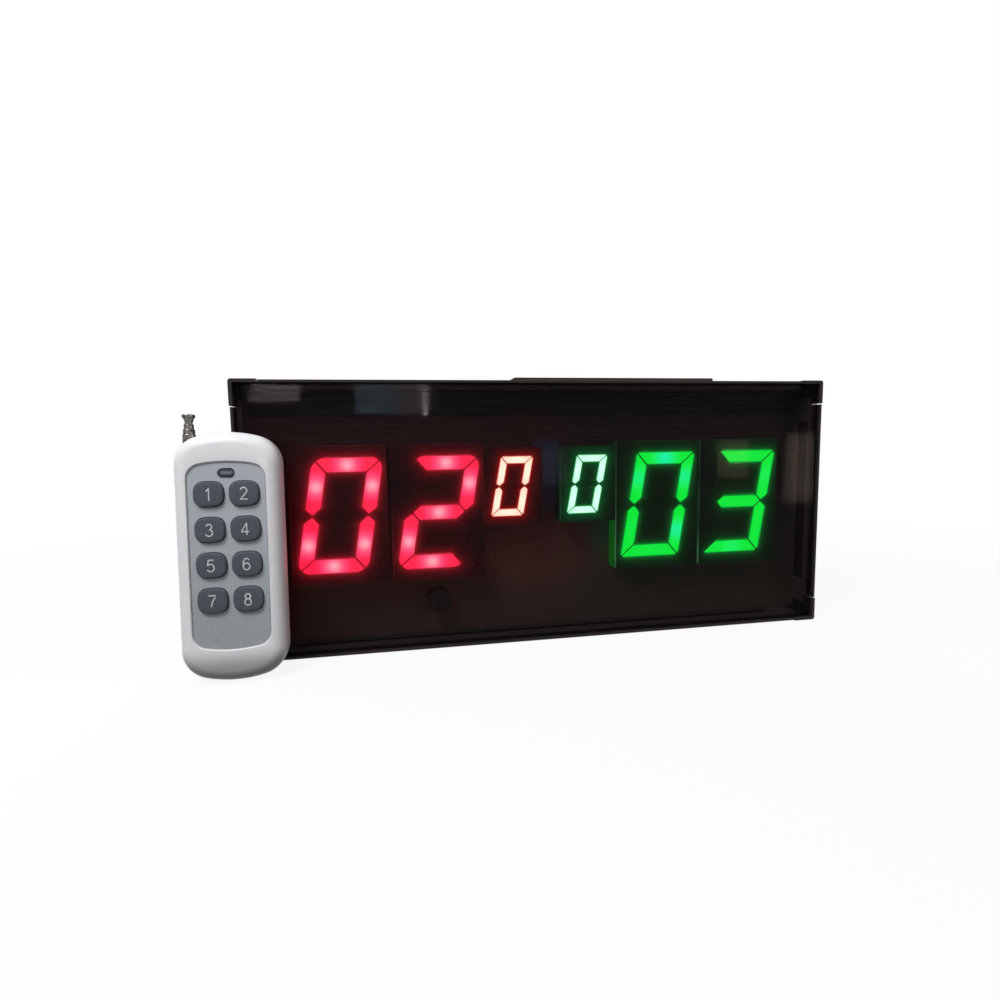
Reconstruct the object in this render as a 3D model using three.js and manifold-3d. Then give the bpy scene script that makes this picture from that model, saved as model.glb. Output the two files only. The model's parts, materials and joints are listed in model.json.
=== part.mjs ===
// Electronic scoreboard with its hand remote: a slim box with six seven-segment digits behind
// a smoked window, and an eight-key remote that leans against the left end of its face.
// Millimetres, +Z up, X to the right seen from the front, the front of the box towards -Y.
// The origin is on the ground under the middle of the box.
import * as THREE from "three";
import { mergeVertices } from "three/addons/utils/BufferGeometryUtils.js";
import Module from "manifold-3d";

// Driving dimensions of the box.
const box = {
  width: 304.8,
  height: 133.4,
  wall: 1.3,
  cornerProud: 0.4,
  cornerLeg: 12.3,
  cornerRound: 1.4,
  railGap: 0.5,
  ribHeight: 3,
  ribThick: 1.2,
  tongueLength: 9,
  tongueThick: 2.2,
  bossSize: 9,
  windowRecess: 1.5,
  windowThick: 2.5,
  boardThick: 1.6,
  panelThick: 2,
  panelRecess: 2.2,
};

// Clearances: between seated pieces, around a lit segment, and between flat faces that touch.
const gap = 0.3;
const segmentGap = 0.2;
const faceGap = 0.02;
// How far a cutting tool runs past what it cuts.
const overrun = 1;

// The digits. Margins run from the digit's outline to the edge of its housing.
const digit = {
  setback: 2,
  housingDepth: 10.5,
  housingFace: 2,
  housingWall: 1.2,
  pinSide: 0.8,
  pinPitch: 2.54,
  pinsPerRow: 5,
  pinTail: 1.5,
  slotWiden: 0.35,
};
const bigDigit = {
  height: 57,
  width: 34.1,
  stroke: 7.6,
  split: 0.9,
  slant: 0.163,
  sideMargin: 1.3,
  endMargin: 5.5,
  aside: 0.5,
  pointRadius: 2.4,
  cornerCutShare: 0.34,
  pinRowInset: 4,
};
const smallDigit = {
  height: 30.5,
  width: 16.8,
  stroke: 3.7,
  split: 0.7,
  slant: 0.185,
  sideMargin: 3.88,
  endMargin: 4.5,
  aside: -0.55,
  pointRadius: 1.4,
  cornerCutShare: 0.2,
  pinRowInset: 3,
};
// What each digit shares of the width that the housings leave free, from the left wall.
const spacing = {
  beforeRedShare: 0.3763,
  redPairShare: 0.0331,
  redSmallShare: 0.0084,
  middleShare: 0.1731,
  greenSmallShare: 0.007,
  greenPairShare: 0.0331,
};
const bigRiseShare = 0.5245;
const smallDropShare = 0.081;

// Electronics behind and beside the digits.
const mainBoard = { width: 90, height: 56, thick: 1.6, riseShare: 0.495 };
const connector = { width: 24, height: 5, depth: 4.5, apartShare: 0.72 };
const chip = { width: 52, height: 14, depth: 4, bevel: 0.8, dropShare: 0.2 };
const receiver = { width: 40, height: 12, thick: 1.2, canWidth: 9, canDepth: 2.4, riseShare: 0.24 };
const whip = { radius: 0.7, length: 88, bend: 6, steps: 14 };
const terminal = { width: 8, height: 11, depth: 6.4, inset: 2, riseShare: 0.1 };
const buzzer = { radius: 6, depth: 8.5, holeRadius: 1, xShare: -0.193, riseShare: 0.65 };
const spareDepth = 2.4;

// Power inlet and switch on the rear panel, and the leads that join them.
const jack = {
  radius: 3.9,
  rimRadius: 5.6,
  rimThick: 1.6,
  bore: 3.2,
  boreDepth: 9,
  floor: 1.5,
  pinRadius: 1.05,
  inset: 47,
  rise: 24,
};
const rocker = {
  bezelWidth: 15,
  bezelHeight: 21,
  bezelThick: 1.7,
  bodyWidth: 12.6,
  bodyHeight: 18.6,
  pocketDepth: 6,
  wall: 1,
  length: 14.6,
  pivotDepth: 2.6,
  proud: 2.2,
  tilt: 9,
  inset: 82,
};
const lead = { radius: 1.3, steps: 20 };
const screw = { headRadius: 2.7, headHeight: 1.4, shankRadius: 1.4, length: 8, inset: 7.6 };

// The matte strip on top of the box.
const strip = { length: 110.2, width: 24, thick: 1.7, chamfer: 2.6, setback: 4, centreShare: 0.111 };

// Driving dimensions of the remote. Its own frame has its middle at zero, front towards -Y.
const remote = {
  width: 44,
  height: 109,
  thick: 17,
  cornerRadius: 13,
  endRadius: 48,
  edgeRadius: 6,
  wall: 2,
  leanDegrees: 4,
  inset: 1.4,
};
const face = {
  width: 32.2,
  height: 81.4,
  cornerRadius: 6.5,
  endRadius: 60,
  thick: 0.5,
  recess: 1,
  rise: 0.8,
};
const key = {
  width: 12.1,
  height: 10.8,
  columnPitch: 14.45,
  rowPitch: 15.28,
  rows: 4,
  columns: 2,
  rise: 4.6,
  proud: 1,
  travel: 0.8,
  flange: 0.45,
  flangeThick: 0.8,
  plungerRadius: 2.5,
  round: 0.5,
  roundness: 2.9,
  points: 16,
};
const lens = { width: 6.5, height: 3.4, drop: 4.9 };
const remoteBoard = { thick: 1.2, frontDepth: 7.4, sideClear: 2.4, postRadius: 1.6, postInset: 3.5 };
const battery = { radius: 3.9, length: 28, rise: 16.5, nipple: 1.6, nippleLength: 0.8, endGap: 0.8 };
const door = { thick: 1.6, over: 6.5 };
const bay = { wall: 1.2 };
const antenna = {
  radius: 2.8,
  wall: 0.25,
  slide: 0.1,
  inset: 5.8,
  length: 84,
  top: 0.6,
  step: 2.2,
  bottomStep: 2,
  plug: 2,
  capRadius: 2.8,
  capThick: 1.3,
  flare: 2.6,
  lip: 0.15,
  saddleThick: 2,
  saddleShares: [-0.5, 0.55],
};
// How round things are drawn.
const fineSides = 20;
const coarseSides = 14;
const wireSides = 8;
const arcSteps = 5;
const bevelSteps = 3;

const depths = stackDepths();
const boxDepth = depths.back;

const wasm = await Module();
wasm.setup();

const scoreboard = new THREE.Group();
const remoteGroup = new THREE.Group();
scoreboard.add(remoteGroup);

const finishes = {
  blackMetal: finish(0x17171a, 0.42, 0.6),
  blackPlastic: finish(0x131315, 0.5, 0),
  smokedAcrylic: finish(0x140f11, 0.08, 0),
  rearSheet: finish(0x1a1a1c, 0.6, 0),
  matteStrip: finish(0x322e28, 0.95, 0),
  circuitBoard: finish(0x0c1a2c, 0.45, 0),
  digitHousing: finish(0x1b1c1f, 0.55, 0),
  redEpoxy: finish(0xff2d5f, 0.3, 0),
  greenEpoxy: finish(0x14fa3c, 0.3, 0),
  paleRedEpoxy: finish(0xffd7be, 0.3, 0),
  paleGreenEpoxy: finish(0xcdffe1, 0.3, 0),
  chipPlastic: finish(0x1d1d1f, 0.55, 0),
  whitePlastic: finish(0xe6e7e9, 0.22, 0),
  facePanel: finish(0xa3adb6, 0.5, 0),
  keyRubber: finish(0x4a5259, 0.6, 0),
  lensPlastic: finish(0x1b2236, 0.15, 0),
  plating: finish(0x9a958b, 0.25, 1),
  steel: finish(0x8b8d90, 0.35, 1),
  batteryJacket: finish(0x2f3336, 0.35, 0.3),
  wire: finish(0x1a1a1a, 0.6, 0),
  terminalPlastic: finish(0x1f6a3a, 0.5, 0),
};

// Depths from the front plane of the box to each layer, front to back.
function stackDepths() {
  const windowBack = box.windowRecess + box.windowThick;
  const digitFront = windowBack + digit.setback;
  const housingBack = digitFront + digit.housingDepth;
  const boardFront = housingBack + gap;
  const boardBack = boardFront + box.boardThick;
  const mainFront = boardBack + gap + connector.depth + gap;
  const mainBack = mainFront + mainBoard.thick;
  const panelFront = mainBack + gap + Math.max(chip.depth + spareDepth, terminal.depth + gap);
  const panelBack = panelFront + box.panelThick;
  const back = panelBack + box.panelRecess;
  return {
    windowBack,
    digitFront,
    housingBack,
    boardFront,
    boardBack,
    mainFront,
    mainBack,
    panelFront,
    panelBack,
    back,
  };
}

function finish(color, roughness, metalness) {
  return { color, roughness, metalness };
}

// A depth behind the front plane of the box, as a Y coordinate.
function atDepth(depth) {
  return depth - boxDepth / 2;
}

// A closed geometry as a solid that can be cut and joined.
function solidOf(geometry) {
  const bare = geometry.clone();
  bare.deleteAttribute("normal");
  bare.deleteAttribute("uv");
  const merged = mergeVertices(bare, 1e-4);
  const vertProperties = merged.attributes.position.array;
  const triVerts = new Uint32Array(merged.index.array);
  return new wasm.Manifold(new wasm.Mesh({ numProp: 3, vertProperties, triVerts }));
}

function geometryOf(solid) {
  const mesh = solid.getMesh();
  const geometry = new THREE.BufferGeometry();
  geometry.setAttribute("position", new THREE.BufferAttribute(mesh.vertProperties, 3));
  geometry.setIndex(new THREE.BufferAttribute(mesh.triVerts, 1));
  return geometry;
}

// Adds a solid to the object as a named mesh with a finish of its own.
function addPiece(name, solid, look, parent = scoreboard) {
  const flat = geometryOf(solid).toNonIndexed();
  flat.computeVertexNormals();
  const mesh = new THREE.Mesh(flat, new THREE.MeshStandardMaterial(look));
  mesh.name = name;
  parent.add(mesh);
  return mesh;
}

function joinAll(solids) {
  return solids.reduce((whole, next) => whole.add(next));
}

function cutAll(solid, cutters) {
  return cutters.reduce((left, cutter) => left.subtract(cutter), solid);
}

// A block between two corners.
function block(low, high) {
  const size = high.map((end, axis) => end - low[axis]);
  const geometry = new THREE.BoxGeometry(...size);
  geometry.translate(...high.map((end, axis) => (end + low[axis]) / 2));
  return solidOf(geometry);
}

// Extrudes an outline drawn in X and Z along Y, from one Y to another.
function alongY(outline, from, to, options = {}) {
  const settings = { depth: to - from, bevelEnabled: false, ...options };
  const geometry = new THREE.ExtrudeGeometry(outline, settings);
  geometry.rotateX(Math.PI / 2);
  geometry.translate(0, to, 0);
  return solidOf(geometry);
}

// Extrudes an outline along a run whose three axes are given, centred on a point.
function alongRun(outline, length, axes, centre) {
  const geometry = new THREE.ExtrudeGeometry(outline, { depth: length, bevelEnabled: false });
  geometry.translate(0, 0, -length / 2);
  geometry.applyMatrix4(new THREE.Matrix4().makeBasis(...axes));
  geometry.translate(...centre);
  return solidOf(geometry);
}

// A cylinder along Y through a point in X and Z.
function rodAlongY(radius, x, z, from, to, sides = fineSides) {
  const geometry = new THREE.CylinderGeometry(radius, radius, to - from, sides);
  geometry.translate(x, (from + to) / 2, z);
  return solidOf(geometry);
}

// Turns a profile of [radius, height] points about an axis along Z.
function turned(points, x, y, sides) {
  const geometry = new THREE.LatheGeometry(flatPoints(points), sides);
  geometry.rotateX(Math.PI / 2);
  geometry.translate(x, y, 0);
  return solidOf(geometry);
}

// A round wire through the given points.
function wireThrough(points, radius, steps) {
  const path = new THREE.CatmullRomCurve3(points.map((point) => new THREE.Vector3(...point)));
  const section = new THREE.Shape(circlePoints(radius, wireSides));
  return solidOf(new THREE.ExtrudeGeometry(section, { steps, bevelEnabled: false, extrudePath: path }));
}

function circlePoints(radius, sides) {
  return Array.from({ length: sides }, (_, step) => {
    const angle = (step / sides) * 2 * Math.PI;
    return new THREE.Vector2(radius * Math.cos(angle), radius * Math.sin(angle));
  });
}

function flatPoints(points) {
  return points.map(([across, up]) => new THREE.Vector2(across, up));
}

function outlineOf(points) {
  return new THREE.Shape(flatPoints(points));
}

function rectangle(width, height, x = 0, z = 0) {
  return outlineOf([
    [x - width / 2, z - height / 2],
    [x + width / 2, z - height / 2],
    [x + width / 2, z + height / 2],
    [x - width / 2, z + height / 2],
  ]);
}

// The frame of the box: four ribbed rails between four corner pieces.

// The section of a rail: a wall with ribs that hold the window, the digit board and the rear panel.
function railSection() {
  const wallFace = box.wall;
  const ribTop = box.wall + box.ribHeight;
  const ribs = [
    [depths.windowBack + gap, depths.windowBack + gap + box.ribThick],
    [depths.boardFront - gap - box.ribThick, depths.boardFront - gap],
    [depths.boardBack + gap, depths.boardBack + gap + box.ribThick],
    [depths.panelFront - gap - box.ribThick, depths.panelFront - gap],
  ];
  const points = [[0, 0], [wallFace, 0]];
  for (const [start, end] of ribs) {
    points.push([wallFace, start], [ribTop, start], [ribTop, end], [wallFace, end]);
  }
  points.push([wallFace, boxDepth], [0, boxDepth]);
  return outlineOf(points);
}

function addRails() {
  const section = railSection();
  const x = new THREE.Vector3(1, 0, 0);
  const y = new THREE.Vector3(0, 1, 0);
  const z = new THREE.Vector3(0, 0, 1);
  const spanX = box.width - 2 * (box.cornerLeg + box.railGap);
  const spanZ = box.height - 2 * (box.cornerLeg + box.railGap);
  const sideX = box.width / 2 - box.cornerProud;
  const front = -boxDepth / 2;
  const middle = box.height / 2;
  const runs = {
    top_rail: [spanX, [z.clone().negate(), y, x], [0, front, box.height - box.cornerProud]],
    bottom_rail: [spanX, [z, y, x.clone().negate()], [0, front, box.cornerProud]],
    left_rail: [spanZ, [x, y, z], [-sideX, front, middle]],
    right_rail: [spanZ, [x.clone().negate(), y, z.clone().negate()], [sideX, front, middle]],
  };
  for (const [name, [length, axes, centre]] of Object.entries(runs)) {
    addPiece(name, alongRun(section, length, axes, centre), finishes.blackMetal);
  }
}

// A corner piece for the lower left: an L of wall, a screw boss, and tongues into each rail,
// before and behind the digit board.
function cornerPiece() {
  const thick = box.cornerProud + box.wall;
  const leg = box.cornerLeg;
  const outline = new THREE.Shape();
  outline.moveTo(0, leg);
  outline.lineTo(0, box.cornerRound);
  outline.absarc(box.cornerRound, box.cornerRound, box.cornerRound, Math.PI, 1.5 * Math.PI, false);
  outline.lineTo(leg, 0);
  outline.lineTo(leg, thick);
  outline.lineTo(thick, thick);
  outline.lineTo(thick, leg);
  const wall = alongY(outline, -boxDepth / 2, boxDepth / 2, { curveSegments: arcSteps });
  const bossFront = atDepth(depths.boardBack + gap);
  const bossBack = atDepth(depths.panelFront - gap);
  const bossMiddle = box.bossSize / 2 + box.wall;
  const bossOutline = rectangle(box.bossSize, box.bossSize, bossMiddle, bossMiddle);
  const boss = alongY(bossOutline, bossFront, bossBack);
  const besideRib = box.ribThick + 2 * gap;
  const reaches = [
    [atDepth(depths.windowBack + besideRib), atDepth(depths.boardFront - besideRib)],
    [atDepth(depths.boardBack + besideRib), atDepth(depths.panelFront - besideRib)],
  ];
  const near = thick + gap;
  const far = near + box.tongueThick;
  const end = leg + box.railGap + box.tongueLength;
  const root = box.bossSize;
  const tongues = reaches.flatMap(([from, to]) => [
    block([root, from, box.wall], [leg, to, far]),
    block([root, from, near], [end, to, far]),
    block([box.wall, from, root], [far, to, leg]),
    block([near, from, root], [far, to, end]),
  ]);
  const along = [bossBack - screw.length, bossBack + overrun];
  const hole = rodAlongY(screw.shankRadius + gap, screw.inset, screw.inset, ...along, coarseSides);
  return joinAll([wall, boss, ...tongues]).subtract(hole);
}

function addCorners() {
  const lowerLeft = cornerPiece();
  const places = {
    corner_bottom_left: [false, false],
    corner_bottom_right: [true, false],
    corner_top_left: [false, true],
    corner_top_right: [true, true],
  };
  for (const [name, [right, top]] of Object.entries(places)) {
    let piece = lowerLeft.translate([-box.width / 2, 0, 0]);
    if (right) piece = piece.mirror([1, 0, 0]);
    if (top) piece = piece.mirror([0, 0, 1]).translate([0, 0, box.height]);
    addPiece(name, piece, finishes.blackPlastic);
  }
}

// Sheets that fill the frame: window, digit board and rear panel.

function sheetOutline() {
  const inset = 2 * (box.cornerProud + box.wall + gap);
  return rectangle(box.width - inset, box.height - inset, 0, box.height / 2);
}

function addWindow() {
  const sheet = alongY(sheetOutline(), atDepth(box.windowRecess), atDepth(depths.windowBack));
  addPiece("front_window", sheet, finishes.smokedAcrylic);
}

function screwPlaces() {
  const x = box.width / 2 - screw.inset;
  return [
    [-x, screw.inset],
    [x, screw.inset],
    [-x, box.height - screw.inset],
    [x, box.height - screw.inset],
  ];
}

function jackX() {
  return box.width / 2 - jack.inset;
}

function rockerX() {
  return box.width / 2 - rocker.inset;
}

function addRearPanel() {
  const front = atDepth(depths.panelFront);
  const back = atDepth(depths.panelBack);
  const sheet = alongY(sheetOutline(), front, back);
  const through = [front - overrun, back + overrun];
  const holes = screwPlaces().map(([x, z]) => {
    return rodAlongY(screw.shankRadius + gap, x, z, ...through, coarseSides);
  });
  holes.push(rodAlongY(jack.radius + gap, jackX(), jack.rise, ...through));
  const cutout = rectangle(rocker.bodyWidth + 2 * gap, rocker.bodyHeight + 2 * gap, rockerX(), jack.rise);
  holes.push(alongY(cutout, ...through));
  addPiece("rear_panel", cutAll(sheet, holes), finishes.rearSheet);
}

function addScrews() {
  const under = atDepth(depths.panelBack) + faceGap;
  const tip = atDepth(depths.panelFront - gap) - screw.length + gap;
  screwPlaces().forEach(([x, z], index) => {
    const head = rodAlongY(screw.headRadius, x, z, under, under + screw.headHeight, coarseSides);
    const shank = rodAlongY(screw.shankRadius, x, z, tip, under + screw.headHeight / 2, coarseSides);
    addPiece(`rear_screw_${index + 1}`, head.add(shank), finishes.steel);
  });
}

// The strip of matte sheet stuck on the top rail, with one end cut at a slant.
function addTopStrip() {
  const x = box.width * strip.centreShare;
  const low = box.height - box.cornerProud + faceGap;
  const half = strip.length / 2;
  const outline = outlineOf([
    [x - half, low],
    [x + half, low],
    [x + half, low + strip.thick],
    [x - half + strip.chamfer, low + strip.thick],
  ]);
  const sheet = alongY(outline, atDepth(strip.setback), atDepth(strip.setback + strip.width));
  addPiece("top_strip", sheet, finishes.matteStrip);
}

// Seven-segment digits.

// The outlines of the seven segments of an upright digit centred on zero.
function segmentOutlines(size) {
  const w = size.width / 2;
  const h = size.height / 2;
  const t = size.stroke;
  const k = size.split / Math.SQRT2;
  const c = t * size.cornerCutShare + k;
  const bar = [
    [w - c, h],
    [w - (c + k) / 2, h - (c - k) / 2],
    [w - t - k, h - t],
    [t + k - w, h - t],
    [(c + k) / 2 - w, h - (c - k) / 2],
    [c - w, h],
  ];
  const post = [
    [w, h - c],
    [w, t / 2],
    [w - t / 2, k],
    [w - t, t / 2 + k],
    [w - t, h - t - k],
    [w - (c - k) / 2, h - (c + k) / 2],
  ];
  const middle = [
    [w - t / 2 - k, 0],
    [w - t - k, -t / 2],
    [t + k - w, -t / 2],
    [t / 2 + k - w, 0],
    [t + k - w, t / 2],
    [w - t - k, t / 2],
  ];
  const flip = (points, acrossX, acrossZ) => points.map(([x, z]) => [x * acrossX, z * acrossZ]);
  return {
    top: bar,
    upperRight: post,
    lowerRight: flip(post, 1, -1),
    bottom: flip(bar, 1, -1),
    lowerLeft: flip(post, -1, -1),
    upperLeft: flip(post, -1, 1),
    middle,
  };
}

// Moves every edge of a convex outline outwards by a distance.
function grown(points, distance) {
  const area = points.reduce((sum, [x, z], i) => {
    const [nextX, nextZ] = points[(i + 1) % points.length];
    return sum + x * nextZ - nextX * z;
  }, 0);
  const ring = area > 0 ? points : [...points].reverse();
  const edges = ring.map(([x, z], i) => {
    const [nextX, nextZ] = ring[(i + 1) % ring.length];
    const length = Math.hypot(nextX - x, nextZ - z);
    const normal = [(nextZ - z) / length, (x - nextX) / length];
    return [...normal, normal[0] * x + normal[1] * z + distance];
  });
  return edges.map(([a, b, s], i) => {
    const [c, d, t] = edges[(i + 1) % edges.length];
    const across = a * d - b * c;
    return [(s * d - t * b) / across, (a * t - c * s) / across];
  });
}

// Everything that a digit shows on its face, each outline slanted and placed, grown by a distance.
function litOutlines(size, x, z, extra) {
  const middle = x + size.aside;
  const leaned = (points) => points.map(([px, pz]) => [middle + px + pz * size.slant, z + pz]);
  const outlines = Object.values(segmentOutlines(size)).map((points) => {
    return outlineOf(grown(leaned(points), extra));
  });
  const pointX = x + housingWidth(size) / 2 - size.sideMargin - size.pointRadius;
  const pointZ = z - size.height / 2 + size.pointRadius;
  const point = circlePoints(size.pointRadius + extra, coarseSides).map((v) => [pointX + v.x, pointZ + v.y]);
  return [...outlines, outlineOf(point)];
}

function housingWidth(size) {
  return size.width + size.height * size.slant + 2 * size.sideMargin;
}

function housingHeight(size) {
  return size.height + 2 * size.endMargin;
}

// The lower edge of the big housings.
function bigHousingLow() {
  return (box.height - housingHeight(bigDigit)) * bigRiseShare;
}

// Where each digit's housing has its middle, from the widths and the spacing shares.
function digitPlaces() {
  const big = housingWidth(bigDigit);
  const small = housingWidth(smallDigit);
  const inner = box.width - 2 * (box.cornerProud + box.wall);
  const free = inner - 4 * big - 2 * small;
  const bigZ = bigHousingLow() + housingHeight(bigDigit) / 2;
  const drop = (housingHeight(bigDigit) - housingHeight(smallDigit)) * smallDropShare;
  const smallZ = bigZ + housingHeight(bigDigit) / 2 - drop - housingHeight(smallDigit) / 2;
  const row = [
    ["red_tens", bigDigit, spacing.beforeRedShare, finishes.redEpoxy],
    ["red_units", bigDigit, spacing.redPairShare, finishes.redEpoxy],
    ["red_small", smallDigit, spacing.redSmallShare, finishes.paleRedEpoxy],
    ["green_small", smallDigit, spacing.middleShare, finishes.paleGreenEpoxy],
    ["green_tens", bigDigit, spacing.greenSmallShare, finishes.greenEpoxy],
    ["green_units", bigDigit, spacing.greenPairShare, finishes.greenEpoxy],
  ];
  let edge = -inner / 2;
  return row.map(([name, size, share, look]) => {
    const left = edge + free * share;
    edge = left + housingWidth(size);
    return { name, size, look, x: (left + edge) / 2, z: size === bigDigit ? bigZ : smallZ };
  });
}

// The square pins in two rows, or the slots for them in the board when widened.
function pinOutlines({ size, x, z }, widen) {
  const side = digit.pinSide + 2 * widen;
  const rowZ = housingHeight(size) / 2 - size.pinRowInset;
  const outlines = [];
  for (const sign of [-1, 1]) {
    for (let pin = 0; pin < digit.pinsPerRow; pin += 1) {
      const along = (pin - (digit.pinsPerRow - 1) / 2) * digit.pinPitch;
      outlines.push(rectangle(side, side, x + along, z + sign * rowZ));
    }
  }
  return outlines;
}

// The black shell of a digit: open at the back, with a cut for each segment in its face.
function housingSolid({ size, x, z }) {
  const front = atDepth(depths.digitFront);
  const back = atDepth(depths.housingBack);
  const width = housingWidth(size);
  const height = housingHeight(size);
  const shell = alongY(rectangle(width, height, x, z), front, back);
  const inner = rectangle(width - 2 * digit.housingWall, height - 2 * digit.housingWall, x, z);
  const hollow = alongY(inner, front + digit.housingFace, back + overrun);
  const cuts = litOutlines(size, x, z, segmentGap).map((outline) => {
    return alongY(outline, front - overrun, front + digit.housingFace + overrun);
  });
  return cutAll(shell, [hollow, ...cuts]);
}

// The clear resin of a digit: a block that fills the shell, a raised bar for each segment, and the pins.
function resinSolid(place) {
  const { size, x, z } = place;
  const front = atDepth(depths.digitFront);
  const back = atDepth(depths.housingBack);
  const inset = 2 * (digit.housingWall + gap);
  const fill = rectangle(housingWidth(size) - inset, housingHeight(size) - inset, x, z);
  const core = alongY(fill, front + digit.housingFace + gap, back);
  const barEnd = front + digit.housingFace + gap + overrun / 2;
  const bars = litOutlines(size, x, z, 0).map((outline) => alongY(outline, front, barEnd));
  const tail = atDepth(depths.boardBack) + digit.pinTail;
  const pins = pinOutlines(place, 0).map((outline) => alongY(outline, back - digit.housingWall, tail));
  return joinAll([core, ...bars, ...pins]);
}

function addDigits() {
  for (const place of digitPlaces()) {
    addPiece(`${place.name}_housing`, housingSolid(place), finishes.digitHousing);
    addPiece(`${place.name}_segments`, resinSolid(place), place.look);
  }
}

function addDisplayBoard() {
  const front = atDepth(depths.boardFront);
  const back = atDepth(depths.boardBack);
  const sheet = alongY(sheetOutline(), front, back);
  const slots = digitPlaces().flatMap((place) => pinOutlines(place, digit.slotWiden));
  const cutters = slots.map((outline) => alongY(outline, front - overrun, back + overrun));
  addPiece("display_board", cutAll(sheet, cutters), finishes.circuitBoard);
}

// The buzzer stands on the front of the display board, between the red digits and the bottom rail.
function addBuzzer() {
  const x = box.width * buzzer.xShare;
  const lowest = box.cornerProud + box.wall + box.ribHeight + gap + buzzer.radius;
  const highest = bigHousingLow() - gap - buzzer.radius;
  const z = lowest + (highest - lowest) * buzzer.riseShare;
  const back = atDepth(depths.boardFront) - faceGap;
  const front = back - buzzer.depth;
  const can = rodAlongY(buzzer.radius, x, z, front, back);
  const hole = rodAlongY(buzzer.holeRadius, x, z, front - overrun, (front + back) / 2, coarseSides);
  addPiece("buzzer", can.subtract(hole), finishes.chipPlastic);
}

// The main board and what it carries.

function mainBoardZ() {
  return box.height * mainBoard.riseShare;
}

function addMainBoard() {
  const middle = mainBoardZ();
  const outline = rectangle(mainBoard.width, mainBoard.height, 0, middle);
  const sheet = alongY(outline, atDepth(depths.mainFront), atDepth(depths.mainBack));
  addPiece("main_board", sheet, finishes.circuitBoard);
  const reach = (mainBoard.height / 2) * connector.apartShare;
  const from = atDepth(depths.boardBack + gap);
  const strips = { connector_upper: middle + reach, connector_lower: middle - reach };
  for (const [name, z] of Object.entries(strips)) {
    const body = rectangle(connector.width, connector.height, 0, z);
    addPiece(name, alongY(body, from, from + connector.depth), finishes.chipPlastic);
  }
}

function addMicrocontroller() {
  const z = mainBoardZ() - mainBoard.height * chip.dropShare;
  const from = atDepth(depths.mainBack + gap);
  const body = rectangle(chip.width, chip.height, 0, z);
  const solid = alongY(body, from + chip.bevel, from + chip.depth - chip.bevel, {
    bevelEnabled: true,
    bevelSegments: 1,
    bevelThickness: chip.bevel,
    bevelSize: chip.bevel,
    bevelOffset: -chip.bevel,
  });
  addPiece("microcontroller", solid, finishes.chipPlastic);
}

function receiverZ() {
  return mainBoardZ() + mainBoard.height * receiver.riseShare;
}

function addReceiver() {
  const z = receiverZ();
  const from = atDepth(depths.mainBack + gap);
  const x = (receiver.width - mainBoard.width) / 2 + terminal.inset;
  const card = alongY(rectangle(receiver.width, receiver.height, x, z), from, from + receiver.thick);
  const canOutline = rectangle(receiver.canWidth, receiver.canWidth, x, z);
  const can = alongY(canOutline, from + receiver.thick / 2, from + receiver.thick + receiver.canDepth);
  addPiece("radio_receiver", card.add(can), finishes.circuitBoard);
  const y = from + receiver.thick / 2;
  const start = x - receiver.width / 2 - gap;
  const points = [
    [start, y, z],
    [start - whip.bend, y, z],
    [start - whip.length, y, z],
  ];
  addPiece("receiver_antenna", wireThrough(points, whip.radius, whip.steps), finishes.wire);
}

function terminalPlace() {
  const x = mainBoard.width / 2 - terminal.inset - terminal.width / 2;
  const z = mainBoardZ() + mainBoard.height * terminal.riseShare;
  return { x, z, from: atDepth(depths.mainBack + gap) };
}

function addTerminal() {
  const { x, z, from } = terminalPlace();
  const body = alongY(rectangle(terminal.width, terminal.height, x, z), from, from + terminal.depth);
  addPiece("power_terminal", body, finishes.terminalPlastic);
}

// The power socket on the rear panel: a threaded barrel with a rim, a bore and a centre pin.
function addSocket() {
  const rim = atDepth(depths.panelBack) + faceGap;
  const mouth = rim + jack.rimThick;
  const inner = mouth - jack.boreDepth;
  const end = inner - jack.floor;
  const barrel = rodAlongY(jack.radius, jackX(), jack.rise, end, rim + jack.rimThick / 2);
  const flange = rodAlongY(jack.rimRadius, jackX(), jack.rise, rim, mouth);
  const bore = rodAlongY(jack.bore, jackX(), jack.rise, inner, mouth + overrun);
  const pin = rodAlongY(jack.pinRadius, jackX(), jack.rise, inner - gap, rim, coarseSides);
  addPiece("dc_socket", joinAll([barrel, flange]).subtract(bore).add(pin), finishes.blackPlastic);
}

// The power switch: a bezel with a pocket, and a rocker that tips about a line across the pocket.

function rockerPivot() {
  return atDepth(depths.panelBack) + rocker.bezelThick - rocker.pivotDepth;
}

function addSwitch() {
  const x = rockerX();
  const z = jack.rise;
  const seat = atDepth(depths.panelBack) + faceGap;
  const front = seat + rocker.bezelThick;
  const bezel = alongY(rectangle(rocker.bezelWidth, rocker.bezelHeight, x, z), seat, front);
  const floor = front - rocker.pocketDepth;
  const bodyOutline = rectangle(rocker.bodyWidth, rocker.bodyHeight, x, z);
  const body = alongY(bodyOutline, floor - rocker.wall, seat + rocker.bezelThick / 2);
  const pocketWidth = rocker.bodyWidth - 2 * rocker.wall;
  const pocketHeight = rocker.bodyHeight - 2 * rocker.wall;
  const pocket = alongY(rectangle(pocketWidth, pocketHeight, x, z), floor, front + overrun);
  addPiece("switch_housing", bezel.add(body).subtract(pocket), finishes.blackPlastic);
  addPiece("switch_rocker", rockerSolid(x, z, pocketWidth - 2 * gap), finishes.blackPlastic);
}

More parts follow.
